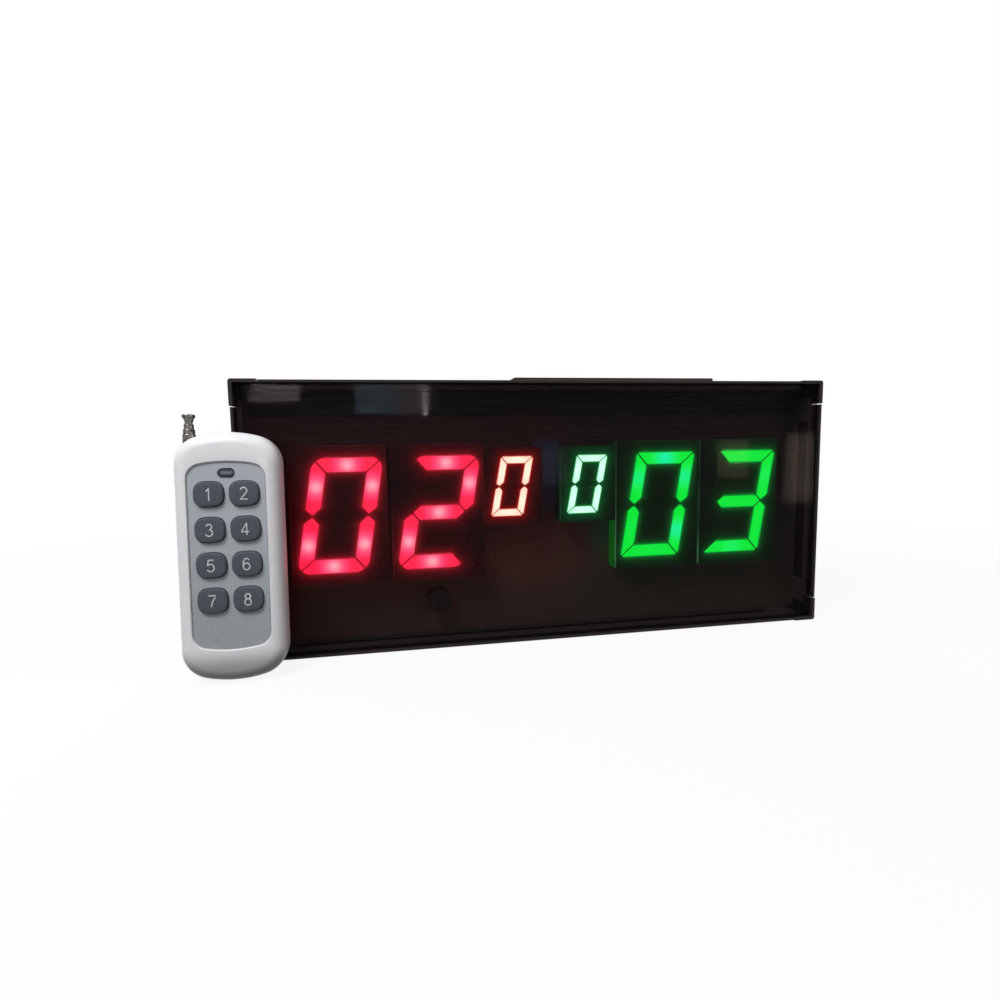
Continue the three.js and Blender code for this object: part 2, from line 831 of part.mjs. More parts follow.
// The rocker, tipped to its on side: flat faces above the pivot, a round belly below it.
function rockerSolid(x, z, width) {
  const half = rocker.length / 2;
  const rise = rocker.proud + rocker.pivotDepth;
  const outline = new THREE.Shape();
  const belly = rocker.pivotDepth;
  outline.moveTo(0, -half);
  outline.lineTo(rise, -half);
  outline.lineTo(rise - rocker.proud / 2, 0);
  outline.lineTo(rise, half);
  outline.lineTo(0, half);
  outline.lineTo(-belly / 2, half / 2);
  outline.lineTo(-belly, 0);
  outline.lineTo(-belly / 2, -half / 2);
  const geometry = new THREE.ExtrudeGeometry(outline, { depth: width, bevelEnabled: false });
  geometry.translate(0, 0, -width / 2);
  const axes = [new THREE.Vector3(0, 1, 0), new THREE.Vector3(0, 0, 1), new THREE.Vector3(1, 0, 0)];
  geometry.applyMatrix4(new THREE.Matrix4().makeBasis(...axes));
  geometry.rotateX(THREE.MathUtils.degToRad(rocker.tilt));
  geometry.translate(x, rockerPivot(), z);
  return solidOf(geometry);
}

// Leads inside the box, from the socket to the switch and from the switch to the terminal.
function addLeads() {
  const depth = atDepth(depths.panelFront) - 2 * lead.radius - gap;
  const out = 2 * lead.radius;
  const socketTop = jack.rise + jack.radius + gap;
  const switchTop = jack.rise + rocker.bodyHeight / 2 + gap;
  const high = switchTop + 4 * out;
  const near = rockerX() + rocker.bodyWidth / 4;
  const far = rockerX() - rocker.bodyWidth / 4;
  const socketRun = [
    [jackX(), depth, socketTop],
    [jackX(), depth, socketTop + out],
    [(jackX() + near) / 2, depth, high],
    [near, depth, switchTop + out],
    [near, depth, switchTop],
  ];
  addPiece("socket_lead", wireThrough(socketRun, lead.radius, lead.steps), finishes.wire);
  const { x, z } = terminalPlace();
  const arrive = x + terminal.width / 2 + gap;
  const switchRun = [
    [far, depth, switchTop],
    [far, depth, switchTop + out],
    [(far + arrive) / 2, depth, (switchTop + z) / 2],
    [arrive + out, depth, z],
    [arrive, depth, z],
  ];
  addPiece("switch_lead", wireThrough(switchRun, lead.radius, lead.steps), finishes.wire);
}

// The hand remote, in its own frame.

// A rounded outline with straight sides and slightly arched ends.
function archedOutline(width, height, cornerRadius, endRadius, middleZ = 0) {
  const side = width / 2 - cornerRadius;
  const reach = Math.sqrt((endRadius - cornerRadius) ** 2 - side ** 2);
  const cornerZ = height / 2 - endRadius + reach;
  const turn = Math.atan2(reach, side);
  const outline = new THREE.Shape();
  const endZ = height / 2 - endRadius;
  outline.absarc(side, middleZ + cornerZ, cornerRadius, 0, turn, false);
  outline.absarc(0, middleZ + endZ, endRadius, turn, Math.PI - turn, false);
  outline.absarc(-side, middleZ + cornerZ, cornerRadius, Math.PI - turn, Math.PI, false);
  outline.absarc(-side, middleZ - cornerZ, cornerRadius, Math.PI, Math.PI + turn, false);
  outline.absarc(0, middleZ - endZ, endRadius, Math.PI + turn, 2 * Math.PI - turn, false);
  outline.absarc(side, middleZ - cornerZ, cornerRadius, 2 * Math.PI - turn, 2 * Math.PI, false);
  return outline;
}

// The whole rounded body of the remote, shrunk by an inset all round.
function remoteBody(inset) {
  const outline = archedOutline(
    remote.width - 2 * inset,
    remote.height - 2 * inset,
    remote.cornerRadius - inset,
    remote.endRadius - inset,
  );
  const radius = remote.edgeRadius - inset;
  const half = remote.thick / 2 - inset;
  return alongY(outline, radius - half, half - radius, {
    curveSegments: arcSteps,
    bevelEnabled: true,
    bevelSegments: bevelSteps,
    bevelThickness: radius,
    bevelSize: radius,
    bevelOffset: -radius,
  });
}

// A slab across the whole remote between two depths.
function remoteSlab(from, to) {
  return block([-remote.width, from, -remote.height], [remote.width, to, remote.height]);
}

function faceOutline(shrink) {
  return archedOutline(
    face.width - 2 * shrink,
    face.height - 2 * shrink,
    face.cornerRadius - shrink,
    face.endRadius - shrink,
    face.rise,
  );
}

// The rounded-square outline of a key, grown by a distance.
function keyOutline(x, z, extra) {
  const power = 2 / key.roundness;
  const bend = (value) => Math.sign(value) * Math.abs(value) ** power;
  const points = Array.from({ length: key.points }, (_, step) => {
    const angle = ((step + 1 / 2) / key.points) * 2 * Math.PI;
    const across = (key.width / 2 + extra) * bend(Math.cos(angle));
    const up = (key.height / 2 + extra) * bend(Math.sin(angle));
    return [x + across, z + up];
  });
  return outlineOf(points);
}

function keyPlaces() {
  const places = [];
  for (let row = 0; row < key.rows; row += 1) {
    for (let column = 0; column < key.columns; column += 1) {
      const x = (column - (key.columns - 1) / 2) * key.columnPitch;
      const z = key.rise + ((key.rows - 1) / 2 - row) * key.rowPitch;
      places.push([x, z]);
    }
  }
  return places;
}

// A pill outline for the indicator lens.
function lensOutline(extra) {
  const radius = lens.height / 2 + extra;
  const side = lens.width / 2 - lens.height / 2;
  const z = face.rise + face.height / 2 - lens.drop;
  const outline = new THREE.Shape();
  outline.absarc(side, z, radius, -Math.PI / 2, Math.PI / 2, false);
  outline.absarc(-side, z, radius, Math.PI / 2, 1.5 * Math.PI, false);
  return outline;
}

// Depths inside the remote, as Y in its own frame.
function remoteDepths() {
  const front = -remote.thick / 2;
  const back = remote.thick / 2;
  const faceFront = front + face.recess - gap - face.thick;
  const wallInner = front + remote.wall;
  const boardFront = front + remoteBoard.frontDepth;
  return {
    front,
    back,
    faceFront,
    faceBack: faceFront + face.thick,
    wallInner,
    boardFront,
    boardBack: boardFront + remoteBoard.thick,
    doorInner: back - door.thick,
  };
}

function antennaX() {
  return antenna.inset - remote.width / 2;
}

function antennaBase() {
  const top = remote.height / 2 - antenna.top;
  return { top, bottom: top - antenna.length };
}

function antennaClearance() {
  const { bottom } = antennaBase();
  const points = [
    [0, bottom - gap],
    [antenna.radius + gap, bottom - gap],
    [antenna.radius + gap, remote.height],
    [0, remote.height],
  ];
  return turned(points, antennaX(), 0, coarseSides);
}

function batteryZ() {
  return battery.rise - remote.height / 2;
}

function addRemoteFront(at) {
  const outer = remoteBody(0).intersect(remoteSlab(-remote.thick, -gap / 2));
  const hollow = remoteBody(remote.wall);
  const round = { curveSegments: arcSteps };
  const recess = alongY(faceOutline(0), at.front - overrun, at.front + face.recess, round);
  const through = [at.front - overrun, at.wallInner + overrun];
  const holes = keyPlaces().map(([x, z]) => alongY(keyOutline(x, z, gap), ...through));
  holes.push(alongY(lensOutline(gap), ...through, round));
  const shell = cutAll(outer, [hollow, recess, ...holes, antennaClearance()]);
  addPiece("remote_front_shell", shell, finishes.whitePlastic, remoteGroup);
}

function addFacePanel(at) {
  const sheet = alongY(faceOutline(gap), at.faceFront, at.faceBack, { curveSegments: arcSteps });
  const through = [at.faceFront - overrun, at.faceBack + overrun];
  const holes = keyPlaces().map(([x, z]) => alongY(keyOutline(x, z, gap), ...through));
  holes.push(alongY(lensOutline(gap), ...through, { curveSegments: arcSteps }));
  addPiece("remote_face_panel", cutAll(sheet, holes), finishes.facePanel, remoteGroup);
}

// A key: a rounded cap, a flange under the shell's wall and a plunger over the board.
function addKeys(at) {
  const flangeFront = at.wallInner + gap;
  const flangeBack = flangeFront + key.flangeThick;
  const capFront = at.faceFront - key.proud;
  const plungerEnd = at.boardFront - key.travel - gap;
  keyPlaces().forEach(([x, z], index) => {
    const cap = alongY(keyOutline(x, z, 0), capFront + key.round, flangeBack - key.round, {
      bevelEnabled: true,
      bevelSegments: 2,
      bevelThickness: key.round,
      bevelSize: key.round,
      bevelOffset: -key.round,
    });
    const flange = alongY(keyOutline(x, z, key.flange + gap), flangeFront, flangeBack);
    const plunger = rodAlongY(key.plungerRadius, x, z, flangeFront, plungerEnd, wireSides);
    addPiece(`remote_key_${index + 1}`, joinAll([cap, flange, plunger]), finishes.keyRubber, remoteGroup);
  });
}

function remoteBoardEdges() {
  const straight = remote.height / 2 - remote.cornerRadius;
  const left = antennaX() + antenna.radius + 2 * gap;
  const right = remote.width / 2 - remote.wall - remoteBoard.sideClear;
  const low = batteryZ() + battery.radius + bay.wall + 3 * gap;
  return { left, right, low, high: straight };
}

function addRemoteBoard(at) {
  const { left, right, low, high } = remoteBoardEdges();
  const sheet = block([left, at.boardFront, low], [right, at.boardBack, high]);
  addPiece("remote_board", sheet, finishes.circuitBoard, remoteGroup);
  const along = [at.faceFront - gap / 2, at.boardFront - gap];
  const pipe = alongY(lensOutline(0), ...along, { curveSegments: arcSteps });
  addPiece("remote_lens", pipe, finishes.lensPlastic, remoteGroup);
}

// The block that the battery door is cut from, and the opening for it in the back shell.
function doorBlock(at, from, shrink) {
  const half = battery.length / 2 + battery.endGap - shrink;
  const top = batteryZ() + door.over - shrink;
  return block([-half, from, -remote.height], [half, remote.thick, top]);
}

// Walls and posts inside the back shell: battery bay, board posts and antenna saddles.
function backShellFittings(at) {
  const inner = at.back - remote.wall;
  const root = inner + remote.wall / 2;
  const halfBay = battery.length / 2 + battery.endGap + gap;
  const z = batteryZ();
  const reach = battery.radius + bay.wall;
  const front = gap / 2;
  const ends = [
    block([-halfBay - bay.wall, front, z - reach], [-halfBay, root, z + reach]),
    block([halfBay, front, z - reach], [halfBay + bay.wall, root, z + reach]),
  ];
  const edges = remoteBoardEdges();
  const postTop = at.boardBack + gap;
  const xs = [edges.left + remoteBoard.postInset, edges.right - remoteBoard.postInset];
  const zs = [z + door.over + remoteBoard.postInset, edges.high - remoteBoard.postInset];
  const posts = xs.flatMap((x) => {
    return zs.map((pz) => rodAlongY(remoteBoard.postRadius, x, pz, postTop, root, wireSides));
  });
  const saddles = antenna.saddleShares.map((share) => {
    const middle = (share * remote.height) / 2;
    const wide = antenna.radius + gap;
    const low = [antennaX() - wide, front, middle - antenna.saddleThick / 2];
    return block(low, [antennaX() + wide, root, middle + antenna.saddleThick / 2]);
  });
  return [...ends, ...posts, ...saddles];
}

function addRemoteBack(at) {
  const outer = remoteBody(0).intersect(remoteSlab(gap / 2, remote.thick));
  const inside = remoteBody(remote.wall / 2);
  const fittings = joinAll(backShellFittings(at)).intersect(inside);
  const shell = outer.subtract(remoteBody(remote.wall)).add(fittings);
  const openFrom = Math.min(at.doorInner - gap, at.back - remote.wall) - faceGap;
  const opening = doorBlock(at, openFrom, 0);
  addPiece(
    "remote_back_shell",
    cutAll(shell, [opening, antennaClearance()]),
    finishes.whitePlastic,
    remoteGroup,
  );
  const lid = remoteBody(0).intersect(doorBlock(at, at.doorInner, gap));
  addPiece("remote_battery_door", lid, finishes.whitePlastic, remoteGroup);
}

// The battery lies across the remote, its nipple to the right.
function addBattery(at) {
  const half = battery.length / 2;
  const points = [
    [0, -half],
    [battery.radius, -half],
    [battery.radius, half],
    [battery.nipple, half],
    [battery.nipple, half + battery.nippleLength],
    [0, half + battery.nippleLength],
  ];
  const geometry = new THREE.LatheGeometry(flatPoints(points), fineSides);
  geometry.rotateZ(-Math.PI / 2);
  geometry.translate(-battery.nippleLength / 2, at.doorInner - gap - battery.radius, batteryZ());
  addPiece("remote_battery", solidOf(geometry), finishes.batteryJacket, remoteGroup);
}

// The telescopic antenna: a fixed tube, two sliding tubes and a tip with a flared cap.
function addAntenna() {
  const x = antennaX();
  const base = antennaBase();
  const thinner = antenna.wall + antenna.slide;
  const floor = base.bottom + antenna.plug;
  const bore = antenna.radius - antenna.wall;
  const fixed = [
    [0, base.bottom],
    [antenna.radius, base.bottom],
    [antenna.radius, base.top - antenna.lip],
    [antenna.radius - antenna.lip, base.top],
    [bore, base.top],
    [bore, floor],
    [0, floor],
  ];
  addPiece("antenna_tube", turned(fixed, x, 0, coarseSides), finishes.plating, remoteGroup);
  for (const stage of [1, 2]) {
    const outer = antenna.radius - stage * thinner;
    const inner = outer - antenna.wall;
    const low = floor + stage * antenna.bottomStep;
    const high = base.top + stage * antenna.step;
    const ring = [
      [inner, low],
      [outer, low],
      [outer, high - antenna.lip],
      [outer - antenna.lip, high],
      [inner, high],
      [inner, low],
    ];
    addPiece(`antenna_section_${stage}`, turned(ring, x, 0, coarseSides), finishes.plating, remoteGroup);
  }
  const rod = antenna.radius - 3 * thinner;
  const low = floor + 3 * antenna.bottomStep;
  const neck = base.top + 2 * antenna.step + gap;
  const cap = neck + antenna.flare;
  const tip = [
    [0, low],
    [rod, low],
    [rod, neck],
    [antenna.capRadius, cap],
    [antenna.capRadius, cap + antenna.capThick],
    [0, cap + antenna.capThick],
  ];
  addPiece("antenna_tip", turned(tip, x, 0, coarseSides), finishes.plating, remoteGroup);
}

// Stands the remote on the ground, leaning back until it is a clearance from the face of the box.
function placeRemote() {
  remoteGroup.rotation.x = -THREE.MathUtils.degToRad(remote.leanDegrees);
  remoteGroup.position.x = remote.inset - box.width / 2;
  remoteGroup.updateMatrixWorld(true);
  const reach = new THREE.Box3();
  for (const name of ["remote_front_shell", "remote_back_shell", "remote_battery_door"]) {
    reach.expandByObject(remoteGroup.getObjectByName(name), true);
  }
  remoteGroup.position.y = -boxDepth / 2 - gap - reach.max.y;
  remoteGroup.position.z = -reach.min.z;
}

function addRemote() {
  const at = remoteDepths();
  addRemoteFront(at);
  addFacePanel(at);
  addKeys(at);
  addRemoteBoard(at);
  addRemoteBack(at);
  addBattery(at);
  addAntenna();
  placeRemote();
}

addRails();
addCorners();
addWindow();
addDisplayBoard();
addDigits();
addBuzzer();
addMainBoard();
addMicrocontroller();
addReceiver();
addTerminal();
addRearPanel();
addScrews();
addSocket();
addSwitch();
addLeads();
addTopStrip();
addRemote();

export default scoreboard;
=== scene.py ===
# The looks of an electronic scoreboard and its hand remote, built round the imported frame.
# Pieces are drawn in millimetres, X right, Y away from the viewer, Z up, and written out in metres.
import json
import math

import bmesh
import bpy
import numpy as np
from mathutils import Matrix, Vector
from mathutils.geometry import tessellate_polygon


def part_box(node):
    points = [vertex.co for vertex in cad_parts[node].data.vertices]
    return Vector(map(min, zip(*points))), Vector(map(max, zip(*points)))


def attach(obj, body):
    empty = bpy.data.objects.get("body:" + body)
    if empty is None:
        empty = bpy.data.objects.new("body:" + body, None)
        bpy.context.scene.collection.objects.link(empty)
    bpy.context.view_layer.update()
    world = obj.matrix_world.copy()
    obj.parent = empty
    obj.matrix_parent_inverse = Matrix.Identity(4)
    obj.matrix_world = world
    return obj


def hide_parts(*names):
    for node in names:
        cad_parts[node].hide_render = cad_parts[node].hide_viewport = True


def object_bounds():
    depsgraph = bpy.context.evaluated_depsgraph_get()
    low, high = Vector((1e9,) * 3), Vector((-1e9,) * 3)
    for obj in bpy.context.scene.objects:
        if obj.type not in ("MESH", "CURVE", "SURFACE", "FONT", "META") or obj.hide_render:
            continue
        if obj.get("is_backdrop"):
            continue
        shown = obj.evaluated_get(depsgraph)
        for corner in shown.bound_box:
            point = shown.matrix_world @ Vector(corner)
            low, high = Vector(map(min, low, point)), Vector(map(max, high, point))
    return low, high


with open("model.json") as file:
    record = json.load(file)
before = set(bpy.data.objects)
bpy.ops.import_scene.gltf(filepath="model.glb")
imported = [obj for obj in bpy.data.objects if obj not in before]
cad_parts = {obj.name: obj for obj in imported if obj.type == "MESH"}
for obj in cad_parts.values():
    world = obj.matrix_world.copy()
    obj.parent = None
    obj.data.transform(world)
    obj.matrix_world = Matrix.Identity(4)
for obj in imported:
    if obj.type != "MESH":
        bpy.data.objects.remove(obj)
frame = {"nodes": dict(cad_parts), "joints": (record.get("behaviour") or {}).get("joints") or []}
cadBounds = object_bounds()
mm = 0.001
print("frame loaded,", len(frame["nodes"]), "nodes")


# Shader maths.

class Wire:
    # One output socket in a node tree. Arithmetic on it adds the nodes that work it out.
    def __init__(self, graph, socket):
        self.graph = graph
        self.socket = socket

    def __add__(self, other):
        return self.graph.reckon("ADD", self, other)

    def __radd__(self, other):
        return self.graph.reckon("ADD", other, self)

    def __sub__(self, other):
        return self.graph.reckon("SUBTRACT", self, other)

    def __rsub__(self, other):
        return self.graph.reckon("SUBTRACT", other, self)

    def __mul__(self, other):
        return self.graph.reckon("MULTIPLY", self, other)

    def __rmul__(self, other):
        return self.graph.reckon("MULTIPLY", other, self)

    def __truediv__(self, other):
        return self.graph.reckon("DIVIDE", self, other)

    def __rtruediv__(self, other):
        return self.graph.reckon("DIVIDE", other, self)

    def __pow__(self, other):
        return self.graph.reckon("POWER", self, other)

    def __rpow__(self, other):
        return self.graph.reckon("POWER", other, self)

    def __abs__(self):
        return self.graph.reckon("ABSOLUTE", self, 0.0)


def isVector(value):
    return value.socket.type in ("VECTOR", "RGBA") if isinstance(value, Wire) else hasattr(value, "__len__")


class Graph:
    # A node tree being put together.
    def __init__(self, tree):
        self.tree = tree
        tree.nodes.clear()

    def node(self, kind, settings=None, inputs=None, output=0):
        made = self.tree.nodes.new(kind)
        for key, value in (settings or {}).items():
            setattr(made, key, value)
        for key, value in (inputs or {}).items():
            self.feed(made.inputs[key], value)
        return Wire(self, made.outputs[output]) if len(made.outputs) else made

    def feed(self, socket, value):
        if isinstance(value, Wire):
            self.tree.links.new(value.socket, socket)
        elif socket.type in ("VECTOR", "RGBA") and not hasattr(value, "__len__"):
            socket.default_value = [value] * len(socket.default_value)
        elif socket.type == "RGBA" and len(value) == 3:
            socket.default_value = (*value, 1)
        else:
            socket.default_value = value

    def reckon(self, operation, first, second):
        kind = "ShaderNodeVectorMath" if isVector(first) or isVector(second) else "ShaderNodeMath"
        return self.node(kind, {"operation": operation}, {0: first, 1: second})

    # A number worked out from one or two vectors.
    def measure(self, operation, first, second=(0, 0, 0)):
        return self.node("ShaderNodeVectorMath", {"operation": operation}, {0: first, 1: second}, "Value")

    def mix(self, share, first, second):
        settings = {"data_type": "RGBA", "clamp_factor": True}
        return self.node("ShaderNodeMix", settings, {0: share, 6: first, 7: second}, 2)

    def smooth(self, value, low, high):
        inputs = {"Value": value, "From Min": low, "From Max": high}
        return self.node("ShaderNodeMapRange", {"interpolation_type": "SMOOTHSTEP"}, inputs)


socketNames = {
    "metallic": "Metallic", "roughness": "Roughness", "specular": "Specular IOR Level", "alpha": "Alpha",
    "coat": "Coat Weight", "coatRoughness": "Coat Roughness", "sheen": "Sheen Weight",
    "subsurface": "Subsurface Weight", "subsurfaceScale": "Subsurface Scale", "glow": "Emission Strength",
}


class Finish(Graph):
    # A material with one shader. Values that stay the same all over go straight to its sockets.
    def __init__(self, name, **fixed):
        self.material = bpy.data.materials.new(name)
        self.material.use_nodes = True
        super().__init__(self.material.node_tree)
        self.principled = self.tree.nodes.new("ShaderNodeBsdfPrincipled")
        output = self.tree.nodes.new("ShaderNodeOutputMaterial")
        self.tree.links.new(self.principled.outputs[0], output.inputs["Surface"])
        for key, value in fixed.items():
            self.put(socketNames[key], value)
        self.place = self.node("ShaderNodeTexCoord", output="Object")

    def put(self, name, value):
        self.feed(self.principled.inputs[name], value)

    # A colour between two screen tones.
    def blend(self, share, low, high):
        return self.mix(share, tone(*low), tone(*high))

    # Soft cloudy noise whose blotches are size metres wide, stretched along an axis by a share.
    def noise(self, size, detail=2, stretch=(1, 1, 1), rough=0.5, warp=0):
        place = self.place * tuple(1 / (size * s) for s in stretch)
        inputs = {"Vector": place, "Scale": 1, "Detail": detail, "Roughness": rough, "Distortion": warp}
        return self.node("ShaderNodeTexNoise", {}, inputs)

    def cells(self, size):
        return self.node("ShaderNodeTexVoronoi", {}, {"Vector": self.place * (1 / size), "Scale": 1})

    # A mask that is 1 round a point, and fades at a radius over a share of it.
    def dot(self, point, radius, flat=(1, 1, 1), fade=0.1):
        away = self.measure("DISTANCE", self.place * flat, tuple(p * f for p, f in zip(point, flat)))
        return 1 - self.smooth(away, (1 - fade) * radius, (1 + fade) * radius)

    # A mask that is 1 between two values and fades outside them.
    def between(self, value, low, high, fade):
        return self.smooth(value, low - fade, low) * (1 - self.smooth(value, high, high + fade))

    # A mask that is 1 on sharp outer edges, about a radius wide.
    def edges(self, radius):
        soft = self.node("ShaderNodeBevel", {"samples": 6}, {"Radius": radius})
        true = self.node("ShaderNodeNewGeometry", output="Normal")
        return self.smooth(1 - self.measure("DOT_PRODUCT", soft, true), 0.01, 0.12)

    def bump(self, height, depth, strength=1.0):
        inputs = {"Height": height, "Distance": depth, "Strength": strength}
        self.put("Normal", self.node("ShaderNodeBump", {}, inputs))

    def attribute(self, name, output="Fac"):
        return self.node("ShaderNodeAttribute", {"attribute_name": name}, output=output)

    # How the painted glow of the lit bars fades with the distance from them:
    # to a third over each reach, in millimetres.
    def decay(self, reach):
        return math.e ** (self.attribute("away") * (-1 / reach))

    # The colour of the painted glow that the lit bars' light gives each point.
    def bleed(self, glow):
        share = self.decay(glow["nearReach"]) * glow["near"] + self.decay(glow["farReach"]) * glow["far"]
        return share * tone(*glow["tone"])

    def axis(self, which):
        return self.node("ShaderNodeSeparateXYZ", {}, {"Vector": self.place}, which)


def tone(red, green, blue):
    # A colour as seen on a screen, 0 to 255, as the linear values that shaders take.
    def linear(value):
        share = value / 255
        return share / 12.92 if share <= 0.04045 else ((share + 0.055) / 1.055) ** 2.4
    return tuple(linear(v) for v in (red, green, blue))


# Finishes, one function for each. Their sizes and places are in metres.

# The span of the inner faces behind the window. Their colour is painted paler: a painted light.
frameInside = {"X": (-0.1498, 0.1498), "Y": (-0.0145, 0.016), "Z": (0.0026, 0.1308)}


# Gives the inner faces a paler colour, a painted light.
def paintedInnerLight(f, outside):
    inside = 1
    for axis, ends in frameInside.items():
        inside = f.between(f.axis(axis), *ends, 0.0001) * inside
    return f.mix(inside, outside, tone(118, 104, 99))


def frameMetal():
    f = Finish("frameMetal", metallic=0.3, specular=0.14)
    cloud = f.noise(0.018, 3)
    grain = f.noise(0.00022, 2)
    scuffs = f.smooth(f.noise(0.0011, 4, (9, 1, 1)), 0.66, 0.78)
    wear = f.edges(0.00035) * f.smooth(f.noise(0.004, 3), 0.42, 0.62)
    body = paintedInnerLight(f, f.blend(cloud, (34, 30, 29), (46, 41, 39)))
    f.put("Base Color", f.mix(wear * 0.4 + scuffs * 0.08, body, tone(116, 110, 104)))
    f.put("Roughness", 0.34 + 0.16 * grain + 0.1 * cloud)
    f.bump(grain, 0.00002, 0.5)
    return f.material


def cornerPlastic():
    f = Finish("cornerPlastic", specular=0.14)
    grain = f.noise(0.0003, 2)
    wear = f.edges(0.0003) * f.smooth(f.noise(0.003, 3), 0.4, 0.62)
    body = paintedInnerLight(f, f.blend(f.noise(0.01, 2), (34, 30, 29), (46, 41, 40)))
    f.put("Base Color", f.mix(wear * 0.4, body, tone(88, 85, 80)))
    f.put("Roughness", 0.4 + 0.2 * grain)
    f.bump(grain, 0.00003, 0.6)
    return f.material


# Specks of dust on the front of the window.
windowDust = ((0.034, -0.01665, 0.04), (-0.0097, -0.01665, 0.0071), (0.0224, -0.01665, 0.0025),
              (-0.095, -0.01665, 0.108), (-0.101, -0.01665, 0.092))


def smokedAcrylic():
    # Light passes two faces, so the sheet lets through the square of what one face does.
    f = Finish("smokedAcrylic", alpha=0.45, specular=0.03)
    smear = f.noise(0.03, 4, (1.6, 1, 0.7), 0.6, 0.6)
    dust = f.smooth(f.noise(0.00055, 2), 0.735, 0.77)
    for speck in windowDust:
        dust = dust + f.dot(speck, 0.0003)
    scratch = f.smooth(f.noise(0.0006, 3, (26, 1, 1.2), 0.6, 0.4), 0.7, 0.76)
    body = f.blend(smear, (8, 5, 8), (14, 10, 12))
    f.put("Base Color", f.mix(dust * 0.5 + scratch * 0.12, body, tone(196, 186, 176)))
    f.put("Roughness", 0.03 + 0.05 * f.smooth(smear, 0.45, 0.8) + 0.08 * dust)
    return f.material


# The board behind the digits, with a painted glow for the light that they spill on it.
boardLook = {
    "poured": (0.004, 0.1158), "paintedShadeAbove": (0.03, 0.09), "blueWide": (-0.006, 0.0065), "blueHigh": (0.07, 0.1),
    "redReach": (-0.012, 0.03), "redSpill": 0.03, "greenSpill": 0.004,
    "pool": (-0.004, 0, 0.043), "poolReach": 0.03, "poolSpill": 0.06,
    "side": (0.0335, 0, 0.05), "sideReach": 0.009, "sideSpill": 0.05,
    "front": (0.0013, 0.0014), "frontEnd": (0.0016, 0.0018),
}


def circuitBoard():
    f = Finish("circuitBoard", specular=0.25, glow=1.0)
    look = boardLook
    x, z = f.axis("X"), f.axis("Z")
    toward = 0.0 - f.axis("Y")
    streak = f.noise(0.0011, 3, (34, 1, 1), 0.6)
    pads = 1 - f.smooth(f.cells(0.0085), 0.06, 0.09)
    poured = f.between(z, *look["poured"], 0.0006)
    blue = f.between(x, *look["blueWide"], 0.001) * f.between(z, *look["blueHigh"], 0.006)
    mask = f.blend(f.noise(0.02, 3), (116, 99, 90), (130, 113, 103))
    # A painted shade: the board is darkened towards its top.
    mask = f.mix(f.smooth(z, *look["paintedShadeAbove"]), mask, tone(76, 56, 56))
    mask = f.mix(blue, mask, tone(70, 98, 134))
    mask = f.mix(poured, tone(48, 40, 46), mask)
    mask = f.mix(f.smooth(streak, 0.45, 0.75) * 0.35, mask, tone(136, 118, 104))
    f.put("Base Color", f.mix(pads * poured * 0.6, mask, tone(150, 140, 118)))
    f.put("Metallic", pads * poured)
    f.put("Roughness", 0.34 + 0.12 * f.noise(0.0008, 2))
    f.bump(streak + pads, 0.00004, 0.7)
    # A painted glow: emission stands for the red and green light that the digits spill on the board.
    redder = 1 - f.smooth(x, *look["redReach"])
    pool = f.dot(look["pool"], look["poolReach"], (1, 0, 1.7), 0.55)
    side = f.dot(look["side"], look["sideReach"], (1, 0, 1), 0.5) * look["sideSpill"]
    red = (redder * look["redSpill"] + pool * look["poolSpill"]) * (0.6 + 0.8 * f.noise(0.03, 2))
    green = (1 - redder) * look["greenSpill"] * (0.4, 1, 0.5) + side * (0.15, 1, 0.5)
    front = f.smooth(toward, *look["front"]) * (1 - f.smooth(toward, *look["frontEnd"]))
    f.put("Emission Color", (red * (1, 0.05, 0.08) + green) * poured * front)
    return f.material


def rearSheet():
    f = Finish("rearSheet", specular=0.15)
    cloud = f.noise(0.03, 3)
    rub = f.smooth(f.noise(0.0016, 4, (7, 1, 1)), 0.64, 0.8)
    f.put("Base Color", f.mix(rub * 0.3, f.blend(cloud, (24, 24, 25), (33, 33, 34)), tone(70, 70, 71)))
    f.put("Roughness", 0.5 + 0.15 * cloud - 0.1 * rub)
    f.bump(f.cells(0.0007), 0.00012, 0.8)
    return f.material


def matteStrip():
    f = Finish("matteStrip", roughness=0.93, specular=0.2, sheen=0.25)
    fibre = f.noise(0.0005, 4, (3, 1, 1), 0.65)
    f.put("Base Color", f.blend(fibre, (38, 34, 29), (66, 60, 52)))
    f.bump(fibre, 0.00015, 0.8)
    return f.material


